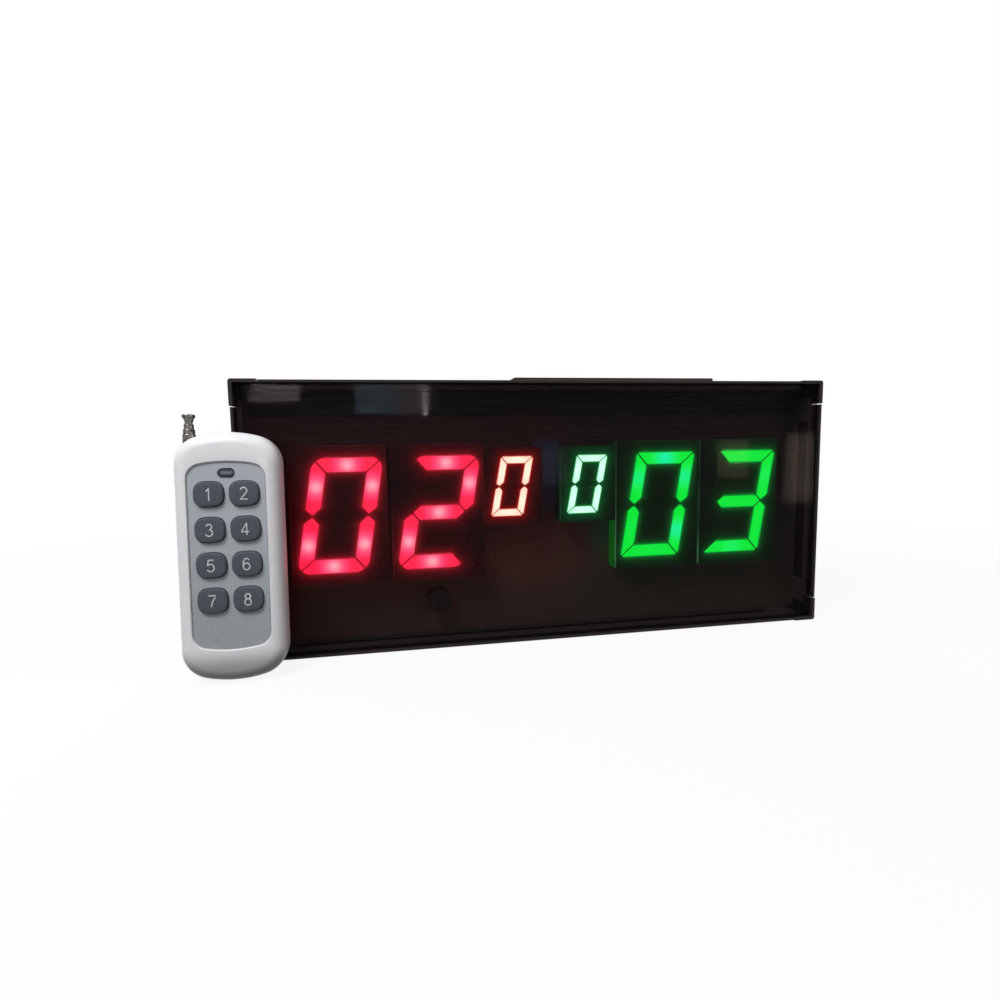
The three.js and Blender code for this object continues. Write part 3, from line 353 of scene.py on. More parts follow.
# Plain mouldings: a cloud between two tones, the least roughness and what the grain adds to it, and
# for some a finer grain than the cloud, and how deep and strong its relief is.
mouldings = {
    "chip_plastic": {"fixed": {"specular": 0.2}, "cloud": (0.0002, 2), "low": (30, 29, 30),
                     "high": (42, 41, 42), "rough": (0.5, 0.2), "relief": (0.00002, 0.6)},
    "buzzer_plastic": {"fixed": {"specular": 0.2}, "cloud": (0.0002, 2), "low": (86, 68, 64),
                       "high": (98, 80, 74), "rough": (0.5, 0.2), "relief": (0.00002, 0.6)},
    "socket_plastic": {"fixed": {"specular": 0.2}, "cloud": (0.003, 2), "low": (17, 17, 18),
                       "high": (28, 28, 29), "rough": (0.28, 0.18), "grain": (0.0002, 2),
                       "relief": (0.000015, 0.5)},
    "switch_plastic": {"fixed": {"specular": 0.2}, "cloud": (0.004, 2), "low": (20, 20, 21),
                       "high": (31, 31, 32), "rough": (0.42, 0.2), "grain": (0.00028, 2),
                       "relief": (0.00003, 0.6)},
    "wire_jacket": {"fixed": {"specular": 0.25}, "cloud": (0.002, 3), "low": (20, 20, 21),
                    "high": (34, 33, 33), "rough": (0.45, 0.2)},
    "terminal_plastic": {"fixed": {"specular": 0.3}, "cloud": (0.0015, 3), "low": (22, 96, 52),
                         "high": (34, 122, 66), "rough": (0.4, 0.2)},
    "numeral_ink": {"fixed": {"specular": 0.3}, "cloud": (0.0006, 2), "low": (186, 190, 194),
                    "high": (220, 223, 225), "rough": (0.5, 0.15)},
    "lens_plastic": {"fixed": {"specular": 0.3, "coat": 0.3, "coatRoughness": 0.06}, "cloud": (0.0014, 2),
                     "low": (22, 28, 48), "high": (33, 40, 62), "rough": (0.16, 0.1)},
    "lens_centre": {"fixed": {"specular": 0.3, "coat": 0.3, "coatRoughness": 0.1}, "cloud": (0.0007, 3),
                    "low": (84, 88, 100), "high": (112, 115, 124), "rough": (0.25, 0.1)},
    "resin_block": {"fixed": {"specular": 0.35}, "cloud": (0.0016, 3), "low": (196, 196, 190),
                    "high": (234.7, 234.7, 227.5), "rough": (0.42, 0.15)},
}


def moulding(name, look):
    words = name.split("_")
    f = Finish(words[0] + words[1].title(), **look["fixed"])
    cloud = f.noise(*look["cloud"])
    grain = f.noise(*look["grain"]) if "grain" in look else cloud
    f.put("Base Color", f.blend(cloud, look["low"], look["high"]))
    f.put("Roughness", look["rough"][0] + look["rough"][1] * grain)
    if "relief" in look:
        f.bump(grain, *look["relief"])
    return f.material


def shareAlong(f, axis, node):
    # How far a place lies along a node, 0 to 1.
    low, high = (end["XYZ".index(axis)] * mm for end in spanOf(node))
    return (f.axis(axis) - low) / (high - low)


def receiverCard():
    # A dark blue card whose metal can stands on the side away from the window.
    f = Finish("receiverCard", specular=0.3)
    can = f.smooth(shareAlong(f, "Y", "radio_receiver"), 0.4, 0.42)
    cloud = f.noise(0.004, 3)
    f.put("Base Color", f.mix(can, f.blend(cloud, (14, 30, 66), (22, 44, 84)), tone(172, 173, 170)))
    f.put("Metallic", can)
    f.put("Roughness", 0.3 + 0.2 * cloud)
    return f.material


# A bar and a ring, printed on the two halves of the rocker.
switchMarks = {"ring": 0.0017, "line": 0.00045, "away": 0.0043}


def rockerPlastic():
    f = Finish("rockerPlastic", specular=0.25)
    thumbed = f.smooth(f.noise(0.006, 3), 0.4, 0.7)
    x, _, z = (v * mm for v in middleOf("switch_rocker"))
    m = switchMarks
    spot = (x, 0, z - m["away"])
    outer, inner = (f.dot(spot, radius, (1, 0, 1)) for radius in (m["ring"], m["ring"] - m["line"]))
    level, side = abs(f.axis("Z") - (z + m["away"])), abs(f.axis("X") - x)
    bar = 1 - f.smooth(level, m["ring"], 1.05 * m["ring"])
    bar = bar * (1 - f.smooth(side, 0.45 * m["line"], 0.6 * m["line"]))
    body = f.blend(thumbed, (24, 24, 25), (36, 36, 37))
    f.put("Base Color", f.mix((outer - inner + bar) * 0.9, body, tone(214, 214, 210)))
    f.put("Roughness", 0.36 - 0.16 * thumbed)
    return f.material


def screwSteel():
    f = Finish("screwSteel", metallic=1.0)
    turning = f.noise(0.0004, 3, (1, 6, 1))
    tarnish = f.smooth(f.noise(0.0012, 3), 0.5, 0.75)
    f.put("Base Color", f.blend(tarnish, (176, 176, 174), (128, 122, 112)))
    f.put("Roughness", 0.22 + 0.22 * turning + 0.15 * tarnish)
    f.bump(turning, 0.00001, 0.5)
    return f.material


def platedBrass():
    f = Finish("platedBrass", metallic=1.0)
    turning = f.noise(0.0005, 3, (1, 1, 0.25))
    tarnish = f.smooth(f.noise(0.0016, 4), 0.42, 0.7)
    f.put("Base Color", f.blend(tarnish, (112, 110, 106), (62, 57, 52)))
    f.put("Roughness", 0.16 + 0.14 * turning + 0.16 * tarnish)
    return f.material


# Behind the small digit and beside its neighbour the painted glow of the big green one's wall
# is dimmed: a painted shade where it catches less light.
wallShade = {"above": (0.058, 0.064), "beside": (0.04, 0.041)}


def digitFace(name, glow):
    # The black shell of a digit, with a painted glow: emission for the light of the lit bars that bleeds
    # along its face and catches its rim, and shows more dimly through its thin side walls.
    f = Finish(name, specular=0.2, glow=1.0)
    grain = f.noise(0.00035, 2)
    body = f.blend(f.noise(0.012, 3), (40, 34, 35), (52, 45, 46))
    # Its sharp edges are painted paler, a painted highlight.
    f.put("Base Color", f.mix(f.edges(0.0003) * 0.5, body, tone(120, 116, 112)))
    f.put("Roughness", 0.42 + 0.18 * grain)
    streaks = f.smooth(f.noise(0.0013, 2, (1, 1, 14)), 0.3, 0.7)
    wall = f.attribute("wall")
    clear = 1 - f.smooth(f.axis("Z"), *wallShade["above"])
    clear = clear * (1 - f.smooth(f.axis("X"), *wallShade["beside"]))
    through = wall * glow["wall"] * (0.35 + 0.75 * streaks) * (0.1 + 0.9 * clear)
    caught = f.attribute("edge") * glow["rim"] * f.decay(glow["rimReach"])
    shown = f.bleed(glow) * (1 - wall) + through * tone(*glow["wallTone"])
    f.put("Emission Color", shown + caught * tone(*glow["rimTone"]))
    f.bump(grain, 0.00002, 0.5)
    return f.material


def darkBar(name, glow):
    # A bar that is off: resin with a painted glow for the light that it catches from its neighbours.
    f = Finish(name, specular=0.2, glow=1.0)
    mottle = f.noise(0.0016, 3)
    f.put("Base Color", f.blend(mottle, (30, 25, 27), (46, 39, 41)))
    f.put("Roughness", 0.4 + 0.15 * mottle)
    f.put("Emission Color", f.bleed(glow) * (0.9 + 0.3 * mottle))
    return f.material


def litResin(name, look):
    # Lit resin: a bright spot over the light in the middle of each bar, and dim along its sides.
    f = Finish(name, specular=0.3, roughness=0.4, glow=look["strength"])
    place = f.attribute("lamp", "Vector")
    reach = f.measure("LENGTH", place)
    heart = (1 - f.smooth(reach, 0.0, look["spreadShare"])) * f.attribute("lampPower")
    across = f.node("ShaderNodeSeparateXYZ", {}, {"Vector": place}, "Y")
    border = f.smooth(abs(across), *look["borderShares"])
    mottle = f.noise(0.0012, 3)
    end, body, spot, edge = (tone(*look[key]) for key in ("end", "body", "spot", "edge"))
    f.put("Base Color", f.mix(mottle, body, spot))
    middle = f.mix(f.smooth(heart, 0.0, 0.5), end, body)
    middle = f.mix(heart ** look["focus"] * (0.85 + 0.15 * mottle), middle, spot)
    f.put("Emission Color", f.mix(border, middle, edge))
    return f.material


# Two small nicks near the lower right corner of the remote's front, in the remote's own frame, and
# the height over which the painted shade that darkens its lower end fades out.
shellLook = {"nicks": ((14.6, -8.3, -46.6), (12.9, -8.3, -48.8)), "shade": (0.0065, 0.017)}


def whitePlastic():
    f = Finish("whitePlastic", specular=0.2, coat=0.05, coatRoughness=0.12, subsurface=0.06,
               subsurfaceScale=0.0015)
    cloud = f.noise(0.02, 3)
    specks = f.smooth(f.noise(0.0008, 1), 0.775, 0.8) * 0.55
    for nick in shellLook["nicks"]:
        specks = specks + f.dot(remoteAt @ Vector([v * mm for v in nick]), 0.00036) * 0.85
    body = f.blend(cloud, (228, 229, 231), (235, 235, 236))
    # A painted shade: the lower end is darkened.
    body = f.mix(f.smooth(f.axis("Z"), *shellLook["shade"]), body * 0.46, body)
    f.put("Base Color", f.mix(specks, body, tone(110, 104, 100)))
    f.put("Roughness", 0.24 + 0.1 * cloud)
    f.bump(f.noise(0.0011, 2), 0.00002, 0.35)
    return f.material


def facePanel():
    f = Finish("facePanel", specular=0.25)
    grain = f.noise(0.00028, 2)
    body = f.blend(f.noise(0.012, 3), (165, 172, 177), (175, 182, 188))
    # A painted shade: the panel is darkened towards its lower end.
    body = f.mix(f.smooth(f.axis("Z"), 0.012, 0.08), body * 0.7, body)
    f.put("Base Color", f.mix(f.smooth(grain, 0.3, 0.75) * 0.7, body, tone(180, 186, 190)))
    f.put("Roughness", 0.38 + 0.2 * grain)
    f.bump(grain, 0.00004, 0.7)
    return f.material


def keyRubber():
    f = Finish("keyRubber", specular=0.2, sheen=0.1)
    grain = f.noise(0.0003, 2)
    body = f.blend(f.noise(0.006, 2), (66, 73, 80), (76, 83, 89))
    f.put("Base Color", f.mix(f.smooth(grain, 0.45, 0.8), body, tone(100, 107, 112)))
    f.put("Roughness", 0.55 + 0.2 * grain)
    f.bump(grain, 0.00006, 0.8)
    return f.material


def batteryJacket():
    # A shrunk sleeve with a dark body and a paler band at one end.
    f = Finish("batteryJacket", specular=0.5)
    band = f.between(shareAlong(f, "X", "remote_battery"), 0.705, 0.955, 0.005)
    cloud = f.noise(0.003, 3)
    f.put("Base Color", f.mix(band, f.blend(cloud, (34, 37, 42), (46, 50, 56)), tone(176, 128, 52)))
    f.put("Metallic", 0.4 * band)
    f.put("Roughness", 0.28 + 0.15 * cloud)
    return f.material


finishes = {}


def makeFinishes():
    finishes.update({
        "frame_metal": frameMetal(), "corner_plastic": cornerPlastic(), "smoked_acrylic": smokedAcrylic(),
        "circuit_board": circuitBoard(), "rear_sheet": rearSheet(), "matte_strip": matteStrip(),
        "receiver_card": receiverCard(), "rocker_plastic": rockerPlastic(), "screw_steel": screwSteel(),
        "plated_brass": platedBrass(), "white_plastic": whitePlastic(), "face_panel": facePanel(),
        "key_rubber": keyRubber(), "battery_jacket": batteryJacket(),
    })
    for name, look in mouldings.items():
        finishes[name] = moulding(name, look)
    print("finishes done")


# Mesh tools. Points are in millimetres, in the row frame unless a placing matrix is given.

def spanOf(node):
    low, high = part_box(node)
    return [v / mm for v in low], [v / mm for v in high]


def middleOf(node):
    return [(low + high) / 2 for low, high in zip(*spanOf(node))]


def meshPiece(name, points, faces, placing=None):
    mesh = bpy.data.meshes.new(name)
    mesh.from_pydata([tuple(c * mm for c in p) for p in points], [], faces)
    if placing is not None:
        mesh.transform(placing)
    mesh.validate()
    return linked(name, mesh)


def linked(name, data):
    piece = bpy.data.objects.new(name, data)
    bpy.context.scene.collection.objects.link(piece)
    return piece


def soften(piece, degrees=35):
    piece.data.shade_smooth()
    piece.data.set_sharp_from_angle(angle=math.radians(degrees))
    return piece


# Gives a piece its finish and its body, and hides the nodes that it stands for.
def dress(piece, look, body="root", stands=()):
    piece.data.materials.clear()
    piece.data.materials.append(finishes[look])
    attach(piece, body)
    for node in stands:
        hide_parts(node)


def faceOut(piece):
    work = bmesh.new()
    work.from_mesh(piece.data)
    bmesh.ops.remove_doubles(work, verts=work.verts, dist=1e-7)
    bmesh.ops.recalc_face_normals(work, faces=work.faces)
    work.to_mesh(piece.data)
    work.free()
    return piece


# Joins rings of as many points each into a closed skin. It has a cap at both ends, unless it is
# endless and the last ring meets the first.
def loft(name, rings, placing=None, endless=False):
    count, levels = len(rings[0]), len(rings)
    faces, around = [], [(i, (i + 1) % count) for i in range(count)]
    for level in range(levels if endless else levels - 1):
        here, there = level * count, (level + 1) % levels * count
        faces += [(here + i, here + j, there + j, there + i) for i, j in around]
    if not endless:
        faces += [tuple(range(count)), tuple(range((levels - 1) * count, levels * count))]
    return faceOut(meshPiece(name, [p for ring in rings for p in ring], faces, placing))


# Turns a profile of radius and height about Z, or about Y where alongY is set. A point on the axis
# is moved off it by a hair, so that all rings have as many points.
def lathe(name, profile, steps=48, centre=(0, 0, 0), alongY=False, placing=None, endless=False):
    rings = []
    for radius, height in profile:
        spots = [(x, height, u) if alongY else (x, u, height) for x, u in circle(max(radius, 0.001), steps)]
        rings.append([tuple(c + s for c, s in zip(centre, spot)) for spot in spots])
    return loft(name, rings, placing, endless)


# Points of a turned profile, each so far in from a radius and up from a height.
def stepped(radius, height, offsets):
    return [(radius - inset, height + rise) for inset, rise in offsets]


# Points along an arc, given its middle, its two radii and the degrees where it starts and ends.
def arc(x, z, across, upward, start, end, steps=18):
    angles = [math.radians(start + (end - start) * k / max(steps, 1)) for k in range(steps + 1)]
    return [(x + across * math.cos(a), z + upward * math.sin(a)) for a in angles]


def circle(radius, steps, x=0, z=0):
    return arc(x, z, radius, radius, 0, 360, steps)[:-1]


def rectangle(width, height, x=0, z=0, corner=0, steps=5):
    loop = []
    for turn, (sx, sz) in enumerate(((1, 1), (-1, 1), (-1, -1), (1, -1))):
        middle = (x + sx * (width / 2 - corner), z + sz * (height / 2 - corner))
        loop += arc(*middle, corner, corner, 90 * turn, 90 * (turn + 1), steps if corner else 0)
    return loop


def turnedWay(loop, left):
    area = sum(a[0] * b[1] - b[0] * a[1] for a, b in zip(loop, loop[1:] + loop[:1]))
    return list(loop) if (area > 0) == left else list(reversed(loop))


# Moves each corner of a loop to its left by a distance, along the bisector.
def moved(loop, distance):
    result = []
    for i, here in enumerate(loop):
        before, after = loop[i - 1], loop[(i + 1) % len(loop)]
        first = Vector((here[0] - before[0], here[1] - before[1])).normalized()
        second = Vector((after[0] - here[0], after[1] - here[1])).normalized()
        across = Vector((-first.y - second.y, first.x + second.x))
        if across.length < 1e-6:
            result.append(here)
            continue
        across.normalize()
        reach = distance / max(0.35, across.dot(Vector((-first.y, first.x))))
        result.append((here[0] + across.x * reach, here[1] + across.y * reach))
    return result


# A plate drawn in X and Z between two depths, with holes and rounded rims.
def plate(name, outline, holes, near, far, rim=0.0, steps=3, placing=None):
    loops = [turnedWay(outline, True)] + [turnedWay(hole, False) for hole in holes]
    levels = [(rim, near)]
    if rim:
        angles = [math.pi / 2 * k / steps for k in range(1, steps + 1)]
        levels += [(rim * (1 - math.sin(a)), near + rim * (1 - math.cos(a))) for a in angles]
    levels += [(inset, far + near - y) for inset, y in reversed(levels)]
    points, faces, starts = [], [], []
    for loop in loops:
        start, count = len(points), len(loop)
        starts.append(start)
        for inset, y in levels:
            points += [(x, y, z) for x, z in moved(loop, inset)]
        for level in range(len(levels) - 1):
            here = start + level * count
            around = [(here + i, here + (i + 1) % count) for i in range(count)]
            faces += [(a, b, b + count, a + count) for a, b in around]
    for level in (0, len(levels) - 1):
        flat = [[Vector((*xz, 0)) for xz in moved(loop, levels[level][0])] for loop in loops]
        index = [start + level * len(loop) + i
                 for start, loop in zip(starts, loops) for i in range(len(loop))]
        faces += [tuple(index[i] for i in triangle) for triangle in tessellate_polygon(flat)]
    return soften(faceOut(meshPiece(name, points, faces, placing)), 20)


def slab(name, low, high, placing=None):
    corners = [(x, y, z) for x in (low[0], high[0]) for y in (low[1], high[1]) for z in (low[2], high[2])]
    faces = [(0, 1, 3, 2), (4, 6, 7, 5), (0, 4, 5, 1), (2, 3, 7, 6), (0, 2, 6, 4), (1, 5, 7, 3)]
    return faceOut(meshPiece(name, corners, faces, placing))


def joined(name, pieces):
    work = bmesh.new()
    whole = bpy.data.meshes.new(name)
    for piece in pieces:
        work.from_mesh(piece.data)
        bpy.data.objects.remove(piece)
    work.to_mesh(whole)
    work.free()
    return linked(name, whole)


def carve(piece, tool, operation="DIFFERENCE"):
    modifier = piece.modifiers.new("carve", "BOOLEAN")
    modifier.object = tool
    modifier.operation = operation
    modifier.solver = "EXACT"
    depsgraph = bpy.context.evaluated_depsgraph_get()
    piece.data = bpy.data.meshes.new_from_object(piece.evaluated_get(depsgraph))
    piece.modifiers.clear()
    bpy.data.objects.remove(tool)


# The camera, as fitted to the box's outline and the digits in the photograph.
cameraPlace = {
    "lens": 21.6, "near": 0.01, "location": (-0.083337, -0.310888, 0.104204),
    "right": (0.98217469, -0.18737712, -0.014923), "up": (0.03348104, 0.09627085, 0.99479191),
}


def addCamera():
    data = bpy.data.cameras.new("camera")
    data.lens = cameraPlace["lens"]
    data.clip_start = cameraPlace["near"]
    camera = linked("camera", data)
    right = Vector(cameraPlace["right"]).normalized()
    back = right.cross(Vector(cameraPlace["up"])).normalized()
    turn = Matrix((right, back.cross(right), back)).transposed().to_4x4()
    camera.matrix_world = Matrix.Translation(cameraPlace["location"]) @ turn
    bpy.context.scene.camera = camera


# Soft studio light, a pale floor and a white surround, in metres. The cards shine as bright as each
# needs to show as a faint reflection in the glossy window.
studio = {
    "lamps": {
        "key": {"at": (-0.42, -0.4, 0.72), "size": (0.3, 0.3), "power": 5.8},
        "fill": {"at": (0.95, -0.5, 0.75), "size": (0.5, 0.4), "power": 1.3},
        "top": {"at": (-0.1, 0.1, 1.1), "size": (1.0, 0.7), "power": 0.7},
        "rear": {"at": (0.3, 1.2, 0.5), "size": (0.9, 0.6), "power": 10},
    },
    "cards": {
        "cardLeft": {"at": (-0.297, -1.0, 0.207), "size": (0.096, 0.043), "shine": 27,
                     "tint": (1, 0.86, 0.92)},
        "cardMiddle": {"at": (-0.1, -1.0, 0.192), "size": (0.082, 0.066), "shine": 15,
                       "tint": (0.62, 0.92, 1.1)},
        "cardRight": {"at": (-0.027, -1.0, 0.192), "size": (0.058, 0.068), "shine": 12,
                      "tint": (1, 0.84, 0.95)},
        "cardSlit": {"at": (0.002, -1.0, 0.19), "size": (0.006, 0.062), "shine": 150, "tint": (1, 0.9, 0.92)},
        "cardBlue": {"at": (0.284, -1.0, 0.043), "size": (0.055, 0.08), "shine": 8, "tint": (0.7, 0.8, 1.2)},
        "cardInner": {"at": (0.714, -1.0, 0.05), "size": (0.08, 0.09), "shine": 12, "tint": (1, 0.62, 0.5)},
        "cardWarm": {"at": (0.509, -0.5, 0.056), "size": (0.046, 0.1), "shine": 16, "tint": (1, 0.78, 0.62)},
    },
    "aim": (0, 0, 0.06), "ambient": 0.2, "floorReach": 6, "floorShare": 0.9, "floorFar": (0.2, 0.7),
    "floorTone": (240, 240, 239), "bounceTone": (54, 53, 52),
}


def addLamp(name, lamp, power, aim):
    data = bpy.data.lights.new(name, "AREA")
    data.shape = "RECTANGLE"
    data.size, data.size_y = lamp["size"]
    data.energy = power
    data.color = lamp.get("tint", (1, 1, 1))
    light = linked(name, data)
    light.location = lamp["at"]
    light.rotation_mode = "QUATERNION"
    light.rotation_quaternion = aim.to_track_quat("-Z", "Y")
    light.visible_camera = False


def raysThatSee(graph):
    # 1 for camera, mirrored and see-through rays, which show the white surround; 0 for light.
    camera, glossy, through = (graph.node("ShaderNodeLightPath", output=f"Is {kind} Ray")
                               for kind in ("Camera", "Glossy", "Transmission"))
    return graph.reckon("MINIMUM", camera + glossy + through, 1.0)


def addSurround():
    world = bpy.data.worlds.new("surround")
    bpy.context.scene.world = world
    world.use_nodes = True
    w = Graph(world.node_tree)
    seen = raysThatSee(w)
    strength = seen + (1 - seen) * studio["ambient"]
    background = w.node("ShaderNodeBackground", {}, {"Color": (1, 1, 1), "Strength": strength})
    w.node("ShaderNodeOutputWorld", {}, {"Surface": background})


def addFloor():
    reach = studio["floorReach"]
    mesh = bpy.data.meshes.new("floor")
    mesh.from_pydata([(*spot, 0) for spot in rectangle(2 * reach, 2 * reach)], [], [(0, 1, 2, 3)])
    floor = linked("floor", mesh)
    material = bpy.data.materials.new("floorPaint")
    material.use_nodes = True
    g = Graph(material.node_tree)
    seen = raysThatSee(g)
    shade = g.mix(seen, tone(*studio["bounceTone"]), tone(*studio["floorTone"]))
    paint = g.node("ShaderNodeBsdfDiffuse", {}, {"Color": shade})
    bright = g.node("ShaderNodeEmission", {}, {"Color": (1, 1, 1), "Strength": 1.0})
    away = g.measure("LENGTH", g.node("ShaderNodeTexCoord", output="Object"))
    far = g.smooth(away, *studio["floorFar"])
    share = seen * (studio["floorShare"] + (1 - studio["floorShare"]) * far)
    both = g.node("ShaderNodeMixShader", {}, {0: share, 1: paint, 2: bright})
    g.node("ShaderNodeOutputMaterial", {}, {"Surface": both})
    mesh.materials.append(material)
    floor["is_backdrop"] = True


def addStudio():
    for name, lamp in studio["lamps"].items():
        addLamp(name, lamp, lamp["power"], Vector(studio["aim"]) - Vector(lamp["at"]))
    for name, card in studio["cards"].items():
        width, height = card["size"]
        addLamp(name, card, card["shine"] * math.pi * width * height, Vector((0, 1, 0)))
    addSurround()
    addFloor()
    bpy.context.scene.view_settings.view_transform = "Standard"
    print("studio done")


# CAD nodes that keep their own shape: their finish and how far their edges are rounded.
keptNodes = {
    "frame_metal": (0.22, ("top_rail", "bottom_rail", "left_rail", "right_rail")),
    "corner_plastic": (0.2, ("corner_bottom_left", "corner_bottom_right",
                             "corner_top_left", "corner_top_right")),
    "smoked_acrylic": (0.3, ("front_window",)),
    "circuit_board": (0.0, ("display_board", "main_board", "remote_board")),
    "rear_sheet": (0.25, ("rear_panel",)),
    "matte_strip": (0.25, ("top_strip",)),
    "chip_plastic": (0.15, ("connector_upper", "connector_lower", "microcontroller")),
    "receiver_card": (0.0, ("radio_receiver",)),
    "wire_jacket": (0.0, ("receiver_antenna", "socket_lead", "switch_lead")),
    "terminal_plastic": (0.2, ("power_terminal",)),
    "switch_plastic": (0.35, ("switch_housing",)),
    "rocker_plastic": (0.45, ("switch_rocker",)),
}


def dressKeptNodes():
    for look, (radius, nodes) in keptNodes.items():
        for name in nodes:
            node = frame["nodes"][name]
            if not node.material_slots:
                node.data.materials.append(finishes[look])
            for place in node.material_slots:
                place.material = finishes[look]
            if radius:
                node.modifiers.new("weld", "WELD").merge_threshold = 1e-6
                flat = node.modifiers.new("flat", "DECIMATE")
                flat.decimate_type = "DISSOLVE"
                flat.angle_limit = math.radians(1)
                bevel = node.modifiers.new("round", "BEVEL")
                bevel.width = radius * mm
                bevel.segments = 2
                bevel.limit_method = "ANGLE"
                bevel.angle_limit = math.radians(40)
    print("kept nodes done")


# The digits.
bigDigit = {
    "height": 57, "width": 34.1, "stroke": 7.6, "split": 0.9, "slant": 0.163, "aside": 0.5,
    "point": 2.4, "side": 1.3, "rounding": 0.5, "pinInset": 4,
}
smallDigit = {
    "height": 30.5, "width": 16.8, "stroke": 3.7, "split": 0.7, "slant": 0.185, "aside": -0.55,
    "point": 1.4, "side": 3.88, "rounding": 0.25, "pinInset": 3,
}
digitBuild = {
    "face": 2, "wall": 1.2, "slotGap": 0.2, "barDepth": 2.8, "rim": 0.12, "cell": 2.2,
    "pinSide": 0.8, "pinRim": 0.1, "pinPitch": 2.54, "pinsPerRow": 5, "arcSteps": 6, "fillGap": 0.3,
    "fillCorner": 0.4, "shellCorner": 0.3, "edgeBand": 0.06, "lampShare": 1.6, "roundSteps": 3,
    "roundShare": 0.4, "straight": 150,
}
litSegments = {
    "0": ("top", "upperRight", "lowerRight", "bottom", "lowerLeft", "upperLeft"),
    "2": ("top", "upperRight", "middle", "lowerLeft", "bottom"),
    "3": ("top", "upperRight", "middle", "lowerRight", "bottom"),
}
# What each digit shows: its size, its figure, its resin, and how strongly the light of each bar shows.
digitRow = {
    "red_tens": (bigDigit, "0", "red_resin", {"all": 1.0}),
    "red_units": (bigDigit, "2", "red_resin", {"all": 1.0}),
    "red_small": (smallDigit, "0", "pale_red_resin", {"all": 0.6}),
    "green_small": (smallDigit, "0", "pale_green_resin", {"all": 0.6}),
    "green_tens": (bigDigit, "0", "green_resin", {"top": 1.0, "upperRight": 0.8, "lowerRight": 0.9,
                                                  "upperLeft": 0.7, "all": 0.2}),
    "green_units": (bigDigit, "3", "green_resin", {"bottom": 0.5, "upperRight": 0.35, "all": 0.15}),
}
# Colours of the lit bars, and the painted glow that stands for their light bleeding into the black shell.
# Reaches are in millimetres.
# The corner's share is of the stroke, and the others are of the size that markLamp gives a bar.
resinLooks = {
    "red_resin": {
        "end": (248, 26, 66), "body": (255, 52, 104), "spot": (255, 164, 178), "edge": (140, 6, 22),
        "borderShares": (0.245, 0.305), "strength": 3.5, "spreadShare": 0.8, "focus": 4.2,
        "round": True, "cornerShare": 0.9,
        "glow": {"tone": (255, 30, 56), "near": 0.75, "nearReach": 1.1, "far": 0.15, "farReach": 6.5,
                 "wall": 0.16, "wallTone": (235, 80, 66),
                 "rim": 1.6, "rimReach": 5, "rimTone": (255, 90, 90)},
    },
    "green_resin": {
        "end": (10, 238, 50), "body": (24, 248, 66), "spot": (26, 248, 186), "edge": (4, 74, 12),
        "borderShares": (0.222, 0.28), "strength": 2.85, "spreadShare": 0.9, "focus": 2.6,
        "round": True, "cornerShare": 0.55,
        "glow": {"tone": (22, 240, 96), "near": 0.36, "nearReach": 1.0, "far": 0.06, "farReach": 7,
                 "wall": 0.3, "wallTone": (44, 240, 60),
                 "rim": 0.5, "rimReach": 7, "rimTone": (150, 255, 190)},
    },
    "pale_red_resin": {
        "end": (255, 206, 180), "body": (255, 218, 194), "spot": (255, 238, 222), "edge": (170, 50, 40),
        "borderShares": (0.24, 0.31), "strength": 3.8, "spreadShare": 1.2, "focus": 2,
        "round": False, "cornerShare": 0.2,
        "glow": {"tone": (255, 18, 26), "near": 0.8, "nearReach": 0.7, "far": 0.3, "farReach": 3.4,
                 "wall": 0.1, "wallTone": (235, 60, 50),
                 "rim": 0.4, "rimReach": 4, "rimTone": (255, 90, 90)},
    },
    "pale_green_resin": {
        "end": (186, 255, 218), "body": (194, 255, 222), "spot": (232, 255, 244), "edge": (40, 150, 84),
        "borderShares": (0.24, 0.31), "strength": 3.6, "spreadShare": 1.2, "focus": 2,
        "round": False, "cornerShare": 0.2,
        "glow": {"tone": (20, 236, 110), "near": 0.35, "nearReach": 0.7, "far": 0.2, "farReach": 3.6,
                 "wall": 0.1, "wallTone": (60, 220, 120),
                 "rim": 0.3, "rimReach": 4, "rimTone": (120, 255, 180)},
    },
}


def segmentLoops(size, look):
    # The outlines of the seven bars round the middle of an upright digit, counterclockwise.
    w, h, t = size["width"] / 2, size["height"] / 2, size["stroke"]
    k = size["split"] / math.sqrt(2)
    c = t * look["cornerShare"] + k
    if look["round"]:
        lean = math.degrees(math.asin(k / (math.sqrt(2) * c)))
        above = arc(w - c, h - c, c, c, 90, 45 + lean, digitBuild["arcSteps"])
        beside = arc(w - c, h - c, c, c, 45 - lean, 0, digitBuild["arcSteps"])
    else:
        above = [(w - c, h), (w - (c + k) / 2, h - (c - k) / 2)]
        beside = [(w - (c - k) / 2, h - (c + k) / 2), (w, h - c)]
    bar = above + [(w - t - k, h - t), (t + k - w, h - t)] + [(-x, z) for x, z in reversed(above)]
    post = beside + [(w, t / 2), (w - t / 2, k), (w - t, t / 2 + k), (w - t, h - t - k)]
    middle = [(w - t / 2 - k, 0), (w - t - k, -t / 2), (t + k - w, -t / 2),
              (t / 2 + k - w, 0), (t + k - w, t / 2), (w - t - k, t / 2)]
    flips = {"top": (bar, 1, 1), "upperRight": (post, 1, 1), "lowerRight": (post, 1, -1),
             "bottom": (bar, 1, -1), "lowerLeft": (post, -1, -1), "upperLeft": (post, -1, 1),
             "middle": (middle, 1, 1)}
    return {name: turnedWay([(x * across, z * upward) for x, z in loop], True)
            for name, (loop, across, upward) in flips.items()}


